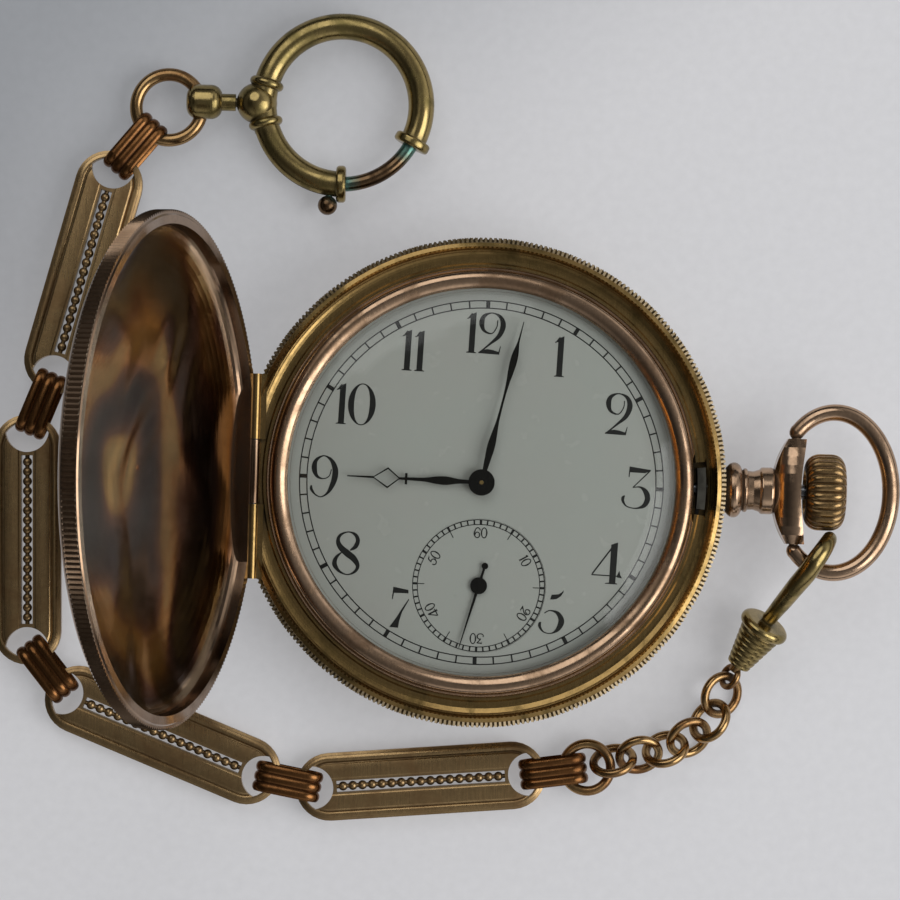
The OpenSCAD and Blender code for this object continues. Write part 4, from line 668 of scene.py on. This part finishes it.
def write_number(bm, figures, centre, scale, turn, low):
    """Figures side by side, each stroke a hair higher than the last so that no two faces coincide."""
    out = polar(turn)
    at = -(sum(WIDTH[f] for f in figures) + FIGURE_GAP * (len(figures) - 1)) / 2
    top = low + PRINT_THICK

    def spot(point):
        x, y = (point[0] + at) * scale, (point[1] - HALF_TALL) * scale
        return centre[0] + x * out.x - y * out.y, centre[1] + x * out.y + y * out.x

    for figure in figures:
        for shape in STROKES.get(figure, []):
            top += LAYER
            line = [(*spot(p), max(SWELL * p[2] * scale, LEAST_HALF)) for p in smooth_line(shape)]
            ink_stroke(bm, line, low, top)
        for shape in BLOCKS.get(figure, []):
            top += LAYER
            ink_block(bm, [spot(p) for p in shape], low, top)
        at += WIDTH[figure] + FIGURE_GAP


def made_solid(bm, name, finish):
    bmesh.ops.recalc_face_normals(bm, faces=bm.faces)
    mesh = bpy.data.meshes.new(name)
    bm.to_mesh(mesh)
    bm.free()
    mesh.materials.append(finish)
    print(name, len(mesh.polygons), "faces")
    return in_scene(name, mesh)


def finish_print(bm, name):
    bmesh.ops.scale(bm, vec=(MM, MM, MM), verts=bm.verts)
    piece = made_solid(bm, name, ink)
    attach(piece, "case")


print("12 is", round(WIDTH["1"] + FIGURE_GAP + WIDTH["2"], 2), "mm wide")

# %% Hour numerals
HOURS = {"12": (0, 15.87), "1": (7.92, 13.64), "2": (14.35, 7.67), "3": (16.47, -0.13), "4": (13.62, -8.17),
         "5": (7.83, -13.64), "7": (-8.31, -13.45), "8": (-14.09, -7.99), "9": (-16.76, 0.16),
         "10": (-13.58, 7.95), "11": (-7.59, 13.85)}
HOURS_TURN = -2.2
bm = bmesh.new()
for hour, spot in HOURS.items():
    write_number(bm, list(hour), spot, 1.0, HOURS_TURN, DIAL_Z - SUNK_IN)
finish_print(bm, "hour_numerals")

# %% [markdown]
# The seconds dial carries small figures that stand with their heads outwards, and a hairline between each
# two of them.

# %% Seconds numerals
SMALL, FIGURES_R = 0.245, 5.62
HAIR_FROM, HAIR_TO, HAIR_HALF, HAIR_THICK = 5.75, 6.95, 0.045, 0.016
middle = Vector((0, SECONDS_Y))
bm = bmesh.new()
for second in range(0, 60, 5):
    turn = 90 - 6 * second + PRINT_TURN
    if second % 10:
        line = [(*(middle + polar(turn) * r), HAIR_HALF) for r in (HAIR_FROM, HAIR_TO)]
        ink_stroke(bm, line, SUNK_Z - SUNK_IN, SUNK_Z + HAIR_THICK)
    else:
        figures = ["5 small" if figure == "5" else figure for figure in str(second or 60)]
        write_number(bm, figures, middle + polar(turn) * FIGURES_R, SMALL, turn - 90, SUNK_Z - SUNK_IN)
finish_print(bm, "seconds_numerals")

# %% [markdown]
# ## Bow, hook and gate
# The bow is a drawn wire bent to an oval, thinner where its ends turn in to the pendant's ears. The swivel
# hook is a forged horn that swells at its back. A swept tube with many sides gives both; the frame of each
# ring is carried along the path so that the tube never twists.


# %% Tube along a path
def tube(path, sides=28):
    """A closed tube through the points (x, y, z, radius), in mm, with domed ends."""
    line = smooth_line(path, 8)
    where, gauge = [p.xyz for p in line], [p.w for p in line]
    start, end = (where[0] - where[1]).normalized(), (where[-1] - where[-2]).normalized()
    dome = [polar(degrees) for degrees in (30, 55, 75)]
    where = [where[0] + start * gauge[0] * d.y for d in dome[::-1]] + where + \
            [where[-1] + end * gauge[-1] * d.y for d in dome]
    gauge = [gauge[0] * d.x for d in dome[::-1]] + gauge + [gauge[-1] * d.x for d in dome]
    bm = bmesh.new()
    across = (where[1] - where[0]).normalized().orthogonal()
    rings = []
    for i, spot in enumerate(where):
        way = (where[min(i + 1, len(where) - 1)] - where[max(i - 1, 0)]).normalized()
        across = (across - way * across.dot(way)).normalized()
        up = way.cross(across)
        rings.append([bm.verts.new((spot + gauge[i] * (math.cos(t) * across + math.sin(t) * up)) * MM)
                      for t in [2 * math.pi * k / sides for k in range(sides)]])
    bridge(bm, rings)
    bm.faces.new(rings[0][::-1])
    bm.faces.new(rings[-1])
    return bm


def ball(bm, centre, radius):
    place = Matrix.Translation(Vector(centre) * MM)
    bmesh.ops.create_uvsphere(bm, u_segments=28, v_segments=16, radius=radius * MM, matrix=place)


def rod(bm, centre, turn, radius, length):
    place = Matrix.Translation(Vector(centre) * MM) @ turn
    bmesh.ops.create_cone(bm, cap_ends=True, segments=32, radius1=radius * MM, radius2=radius * MM,
                          depth=length * MM, matrix=place)


def stand_in(bm, name, node, body, finish):
    """The rounder piece that is shown in place of a CAD solid."""
    piece = made_solid(bm, name, finish)
    piece.data.shade_smooth()
    piece.data.set_sharp_from_angle(angle=math.radians(40))
    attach(piece, body)
    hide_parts(node)


print("tube, ball and rod ready")

# %% Bow
MID_Z, BOW_X, BOW_A, BOW_B, BOW_GAUGE, BOW_STEPS = 7.25, 37.6, 6.1, 8.55, 0.95, 40
EAR_X, EAR_Y, PIVOT_R, PIVOT_LONG, END_Y, BEND_Y, BEND_R = 33.45, 5.25, 0.5, 2.3, 6.3, 6.44, 0.74
stop = math.pi - math.asin(END_Y / BOW_B)
route = []
for i in range(BOW_STEPS + 1):
    a = -stop + 2 * stop * i / BOW_STEPS
    full = 0.84 + 0.16 * abs(math.sin(math.pi * i / BOW_STEPS)) ** 0.7
    route.append((BOW_X + BOW_A * math.cos(a), BOW_B * math.sin(a), MID_Z, BOW_GAUGE * full))
bm = tube(route)
for s in (-1, 1):
    ball(bm, (BOW_X + BOW_A * math.cos(stop), s * BEND_Y, MID_Z), BEND_R)
    rod(bm, (EAR_X, s * EAR_Y, MID_Z), Matrix.Rotation(math.radians(90), 4, "X"), PIVOT_R, PIVOT_LONG)
stand_in(bm, "bow_wire", "bow", "bow", finishes["rose_gold"])

# %% Swivel hook and gate
HOOK_FROM = Vector((31.1, -14, 4.6))
barrel_way = Vector((-0.5, -0.84, -0.4)).normalized()
horn = [(*(HOOK_FROM - 0.45 * barrel_way), 0.8), (31.9, -12.8, 5.5, 0.85), (32.8, -11.5, 6.8, 0.95),
        (33.8, -10, 8.4, 1.02), (34.8, -8.6, 9.6, 1.05), (35.6, -7.3, 10.1, 1.02), (36.4, -6.1, 9.9, 0.95),
        (37, -5.2, 9, 0.85), (37.2, -4.9, 7.8, 0.75), (36.95, -5.24, 6.7, 0.65), (36.45, -5.95, 6.05, 0.53)]
bm = tube(horn)
rod(bm, HOOK_FROM + 0.45 * barrel_way, barrel_way.to_track_quat("Z", "Y").to_matrix().to_4x4(), 0.62, 2.7)
stand_in(bm, "hook_horn", "swivel_hook", "swivel_hook", finishes["olive_brass"])
lever = [(32, -13.2, 3.7, 0.25), (32.9, -11.8, 4, 0.38), (34, -10, 4.4, 0.4), (35.1, -8.3, 4.6, 0.38),
         (36.1, -6.6, 4.6, 0.32)]
stand_in(tube(lever, 20), "gate_lever", "hook_gate", "hook_gate", finishes["gilt_chain"])

# %% [markdown]
# ## Hands
# The hands are slim blades of blued steel burnt nearly black. They swell twice, and the hour hand carries an
# open lozenge. A cut outline would do as well, but the pen that drew the figures already swells and thins.
# So they are drawn along X from their hub and then turned to the time.

# %% Hands
HAND_THICK, HAND_LAYER = 0.14, 0.002


def hand(name, node, turn, low, hub, lines, blocks=()):
    """A hub of (middle radius, half width), lines of (x, y, half width) and blocks across them."""
    bm = bmesh.new()
    middle, half = hub
    ring = [(middle * math.cos(a), middle * math.sin(a), half) for a in [math.pi * i / 24 for i in range(49)]]
    high = low + HAND_THICK
    ink_stroke(bm, ring, low, high)
    for i, line in enumerate(lines, 1):
        line = smooth_line(line) if len(line) > 5 else line
        ink_stroke(bm, line, low + HAND_LAYER * i, high + HAND_LAYER * i)
    for block in blocks:
        ink_block(bm, block, low - HAND_LAYER, high - HAND_LAYER)
    place = Matrix.Scale(MM, 4) @ Matrix.Rotation(math.radians(turn), 4, "Z")
    bmesh.ops.transform(bm, matrix=place, verts=bm.verts)
    stand_in(bm, name, node, node, finishes["blued_steel"])


hand("minute_blade", "minute_hand", 76.8, 10.2, (0.975, 0.425),
     [[(1.2, 0, 0.24), (2.6, 0, 0.34), (3.95, 0, 0.42), (5.2, 0, 0.32), (6.6, 0, 0.17), (8, 0, 0.13),
       (9.5, 0, 0.13), (11, 0, 0.2), (12.3, 0, 0.33), (13.4, 0, 0.38), (14.3, 0, 0.3), (15.3, 0, 0.12),
       (16.5, 0, 0.07), (17.6, 0, 0.04)]])
hand("hour_blade", "hour_hand", 178.7, 9.8, (0.96, 0.34),
     [[(1.2, 0, 0.2), (2.4, 0, 0.25), (3.7, 0, 0.45), (4.8, 0, 0.4), (6, 0, 0.22), (7.6, 0, 0.16)],
      [(7.5, 0, 0.16), (8.8, 0, 0.13)],
      [(8.7, 0, 0.1), (9.95, 1.02, 0.1), (11.5, 0, 0.1), (9.95, -1.02, 0.1), (8.7, 0, 0.1)],
      [(11.45, 0, 0.12), (14.25, 0, 0.06)]],
     [[(7.87, -0.6), (8.13, -0.6), (8.13, 0.6), (7.87, 0.6)]])

# %% [markdown]
# ## Bezel
# The bezel is a broad rounded ring with a fine bead at its outer edge. Its lip reaches over the case's well,
# and its inner lip holds the crystal. It is turned on a lathe, so its section is drawn once and carried round
# the axis. The bead stands back at 3 o'clock, where the lock spring's beak moves in; a plain turned shape
# could not do that, and so the corners are placed one by one.

# %% Turned bezel
SECTION = [(20.95, 9.4), (22.35, 9.4), (22.35, 10.22), (22.74, 10.24), (22.8, 10.42), (22.76, 10.6),
           (22.66, 10.7), (22.54, 10.68), (22.46, 10.76), (22.36, 11.02), (22.12, 11.28), (21.8, 11.43),
           (21.45, 11.43), (21.1, 11.33), (20.8, 11.16), (20.6, 10.98), (20.52, 10.84), (20.56, 10.66),
           (20.8, 10.5), (20.95, 10.3)]
AROUND, BEAK_STEPS, SET_BACK_R = 192, 5, 22.45
bm = bmesh.new()
rows = []
for r, z in SECTION:
    row = []
    for k in range(AROUND):
        held = min(r, SET_BACK_R) if min(k, AROUND - k) < BEAK_STEPS else r
        turn = 2 * math.pi * k / AROUND
        row.append(bm.verts.new((held * math.cos(turn) * MM, held * math.sin(turn) * MM, z * MM)))
    rows.append(row)
bridge(bm, rows, closed=True)
stand_in(bm, "bezel_ring", "bezel", "bezel", finishes["rose_gold"])

# %% [markdown]
# ## Crown
# The winding crown is a barrel with 24 rounded ridges that run on over both shoulders. The ridges follow a
# rule, so the surface is written as one: the radius along the stem, less a groove between every two ridges.

# %% Ridged crown
CROWN_X, CROWN_R, CROWN_LEN, ROUND, RIDGES, GROOVE = 34.45, 4.1, 4.3, 1.5, 24, 0.3
profile = [(1.2, 0.0, 0), (1.2, 2.2, 0), (0.0, 2.4, 0)]
shoulder = [math.radians(90 * i / 8) for i in range(9)]
for i, a in enumerate(shoulder):
    profile.append((ROUND * (1 - math.cos(a)), CROWN_R - ROUND + ROUND * math.sin(a), min(1, i / 3)))
for i in range(1, 5):
    profile.append((ROUND + (CROWN_LEN - 2 * ROUND) * i / 5, CROWN_R, 1))
for i, a in enumerate(shoulder):
    along = CROWN_LEN - ROUND * (1 - math.sin(a))
    profile.append((along, CROWN_R - ROUND + ROUND * math.cos(a), min(1, (8 - i) / 3)))
profile.append((CROWN_LEN, 0.0, 0))
bm = bmesh.new()
rows = []
for along, radius, deep in profile:
    row = []
    for k in range(RIDGES * 10 if radius else 1):
        turn = 2 * math.pi * k / (RIDGES * 10)
        r = radius - GROOVE * deep * (1 - abs(math.sin(RIDGES / 2 * turn)) ** 0.75)
        spot = Vector((CROWN_X + along, r * math.cos(turn), MID_Z + r * math.sin(turn)))
        row.append(bm.verts.new(spot * MM))
    rows.append(row)
bridge(bm, rows)
stand_in(bm, "crown_ridged", "crown", "crown", finishes["crown_brass"])

# %% [markdown]
# ## Banded connectors
# Each connector is one strip bent to a flat oval, rolled with three round ribs. Cut ribs would leave the
# ends flat, so the ribbed section across the strip is carried round the oval as the roller does. Each one
# joins the holes at the ends of two plates; the first and the last hold a ring instead.

# %% Ribbed bands
HOLE, CHAIN_Z, BAND_LONG, BAND_WIDE, BAND_INSIDE, INSET = 11.15, 1.65, 7.4, 3.2, 2.4, 0.24
THIN, RIB_HIGH = 0.2, 0.25
FIRST_RING, LAST_RING = Vector((12.3, -30.3)), Vector((-34.8, 39.7))


def seat(index, side):
    x, y, turn = PLATES[index]
    return Vector((x, y)) + side * HOLE * polar(turn)


def grip(centre, towards, reach):
    return centre + reach * (towards - centre).normalized()


def ribbed_band(name, start, end):
    middle, way = (start + end) / 2, (end - start).normalized()
    section = [(BAND_WIDE / 2 - INSET, 0.0), (INSET - BAND_WIDE / 2, 0.0)]
    for i in range(25):
        section.append((BAND_WIDE * (i / 24 - 0.5), THIN + RIB_HIGH * abs(math.sin(math.pi * i / 8)) ** 0.6))
    straight = (BAND_LONG - BAND_INSIDE) / 2 - THIN - RIB_HIGH
    bm = bmesh.new()
    rows = []
    for side in (1, -1):
        for a in [math.radians(15 * i - 90) for i in range(13)]:
            row = []
            for wide, thick in section:
                reach = BAND_INSIDE / 2 + thick
                flat = middle + way * side * (straight + reach * math.cos(a)) + Vector((-way.y, way.x)) * wide
                row.append(bm.verts.new(Vector((*flat, CHAIN_Z + side * reach * math.sin(a))) * MM))
            rows.append(row)
    bridge(bm, rows, closed=True)
    stand_in(bm, name + "_band", name, name, finishes["copper_band"])


seats = [seat(index, side) for index in range(4) for side in (-1, 1)]
seats = [grip(FIRST_RING, seats[0], 0.45)] + seats + [grip(LAST_RING, seats[-1], 1.75)]
for number in range(1, 6):
    ribbed_band("connector_%d" % number, seats[2 * number - 2], seats[2 * number - 1])

# %% [markdown]
# ## Coin edge seen from above
# The reeding of the case's band turns over its upper bevel, where the camera sees it as fine radial lines.
# They follow a rule, so Geometry Nodes put one small block on each point of a circle, tilted with the bevel,
# and leave out those where the hinge lies.

# %% Ribs over the bevel, by Geometry Nodes
RIB = (1.17 * MM, 0.25 * MM, 0.3 * MM)


def bevel_ribs_tree():
    tree, given = pattern_tree(
        "bevel_ribs", ("Ribs", "Int", 330), ("Radius", "Float", 25.38 * MM), ("Height", "Float", 10.05 * MM),
        ("Slope", "Float", math.radians(34.6)), ("Hinge side", "Float", -22.7 * MM),
        ("Finish", "Material", None))
    circle = add(tree, "GeometryNodeMeshCircle", {"Vertices": given["Ribs"], "Radius": given["Radius"]})
    place = add(tree, "GeometryNodeInputPosition")
    across = add(tree, "ShaderNodeSeparateXYZ", {0: place}).outputs["X"]
    kept = add(tree, "ShaderNodeMath", {0: across, 1: given["Hinge side"]}, operation="GREATER_THAN")
    ribs = blocks_round(tree, circle, given["Ribs"], kept, RIB, given["Slope"])
    lift = add(tree, "ShaderNodeCombineXYZ", {"Z": given["Height"]})
    raised = add(tree, "GeometryNodeTransform", {"Geometry": ribs, "Translation": lift})
    return end_pattern(tree, raised, given["Finish"])


ribs = made_by_nodes("bevel_ribs", bevel_ribs_tree(), Finish=finishes["edge_gold"])
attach(ribs, "case")
